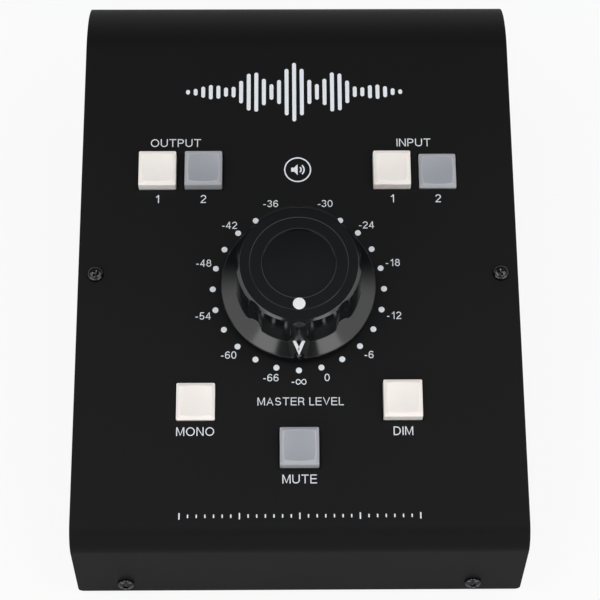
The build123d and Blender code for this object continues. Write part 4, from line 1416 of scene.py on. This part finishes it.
class CONTROLLER_OT_finishes(Step):
    """Make the finishes that the other steps give to their pieces"""

    bl_idname = "controller.finishes"
    bl_label = "Finishes"

    def execute(self, context):
        FINISHES.update(slot_finishes(context.scene.controller_colours))
        return {"FINISHED"}


class CONTROLLER_OT_case(Step):
    """Make the folded cover, the tray, the feet and the screws that hold the case together"""

    bl_idname = "controller.case"
    bl_label = "Case"

    def execute(self, context):
        sizes = context.scene.controller_cover
        make_cover(sizes)
        make_tray(sizes)
        make_feet(sizes)
        make_screws()
        return {"FINISHED"}


class CONTROLLER_OT_buttons(Step):
    """Make the seven push button caps"""

    bl_idname = "controller.buttons"
    bl_label = "Buttons"

    def execute(self, context):
        make_buttons(context.scene.controller_buttons)
        return {"FINISHED"}


class CONTROLLER_OT_knob(Step):
    """Make the pointer knob with its disc and its painted marks"""

    bl_idname = "controller.knob"
    bl_label = "Knob"

    def execute(self, context):
        sizes = context.scene.controller_knob
        make_knob(sizes)
        make_crown_disc()
        make_knob_marks(sizes)
        return {"FINISHED"}


class CONTROLLER_OT_jacks(Step):
    """Make the jack sockets and their nuts"""

    bl_idname = "controller.jacks"
    bl_label = "Jack sockets"

    def execute(self, context):
        make_jacks(context.scene.controller_cover)
        return {"FINISHED"}


class CONTROLLER_OT_printing(Step):
    """Print the dial, the words and the plain decoration on the panel"""

    bl_idname = "controller.printing"
    bl_label = "Printing"

    def execute(self, context):
        sizes = context.scene.controller_print
        make_dial_dots(sizes)
        make_lettering(sizes)
        make_graphics(sizes)
        return {"FINISHED"}


class CONTROLLER_OT_inside(Step):
    """Finish the solid parts that still show"""

    bl_idname = "controller.inside"
    bl_label = "Inside"

    def execute(self, context):
        finish_inside()
        return {"FINISHED"}


class CONTROLLER_OT_stage(Step):
    """Make the floor, the room, the lamps and the camera"""

    bl_idname = "controller.stage"
    bl_label = "Stage"

    def execute(self, context):
        studio = context.scene.controller_studio
        make_floor(context.scene.controller_colours)
        make_sky(studio)
        make_lamps(studio)
        make_camera(studio)
        context.scene.view_settings.view_transform = "Standard"
        return {"FINISHED"}


OPERATORS = (
    CONTROLLER_OT_finishes,
    CONTROLLER_OT_case,
    CONTROLLER_OT_buttons,
    CONTROLLER_OT_knob,
    CONTROLLER_OT_jacks,
    CONTROLLER_OT_printing,
    CONTROLLER_OT_inside,
    CONTROLLER_OT_stage,
)


class CONTROLLER_PT_steps(bpy.types.Panel):
    """The steps that build the controller, in order"""

    bl_label = "Monitor Controller"
    bl_space_type = "VIEW_3D"
    bl_region_type = "UI"
    bl_category = "Controller"

    def draw(self, context):
        for operator in OPERATORS:
            self.layout.operator(operator.bl_idname)


def register():
    for kind in (*SETTINGS.values(), *OPERATORS, CONTROLLER_PT_steps):
        bpy.utils.register_class(kind)
    for name, group in SETTINGS.items():
        setattr(bpy.types.Scene, name, PointerProperty(type=group))


def unregister():
    for name in SETTINGS:
        delattr(bpy.types.Scene, name)
    for kind in (CONTROLLER_PT_steps, *reversed(OPERATORS), *reversed(SETTINGS.values())):
        bpy.utils.unregister_class(kind)


def main():
    register()
    for operator in OPERATORS:
        group, name = operator.bl_idname.split(".")
        getattr(getattr(bpy.ops, group), name)()


if __name__ == "__main__":
    main()
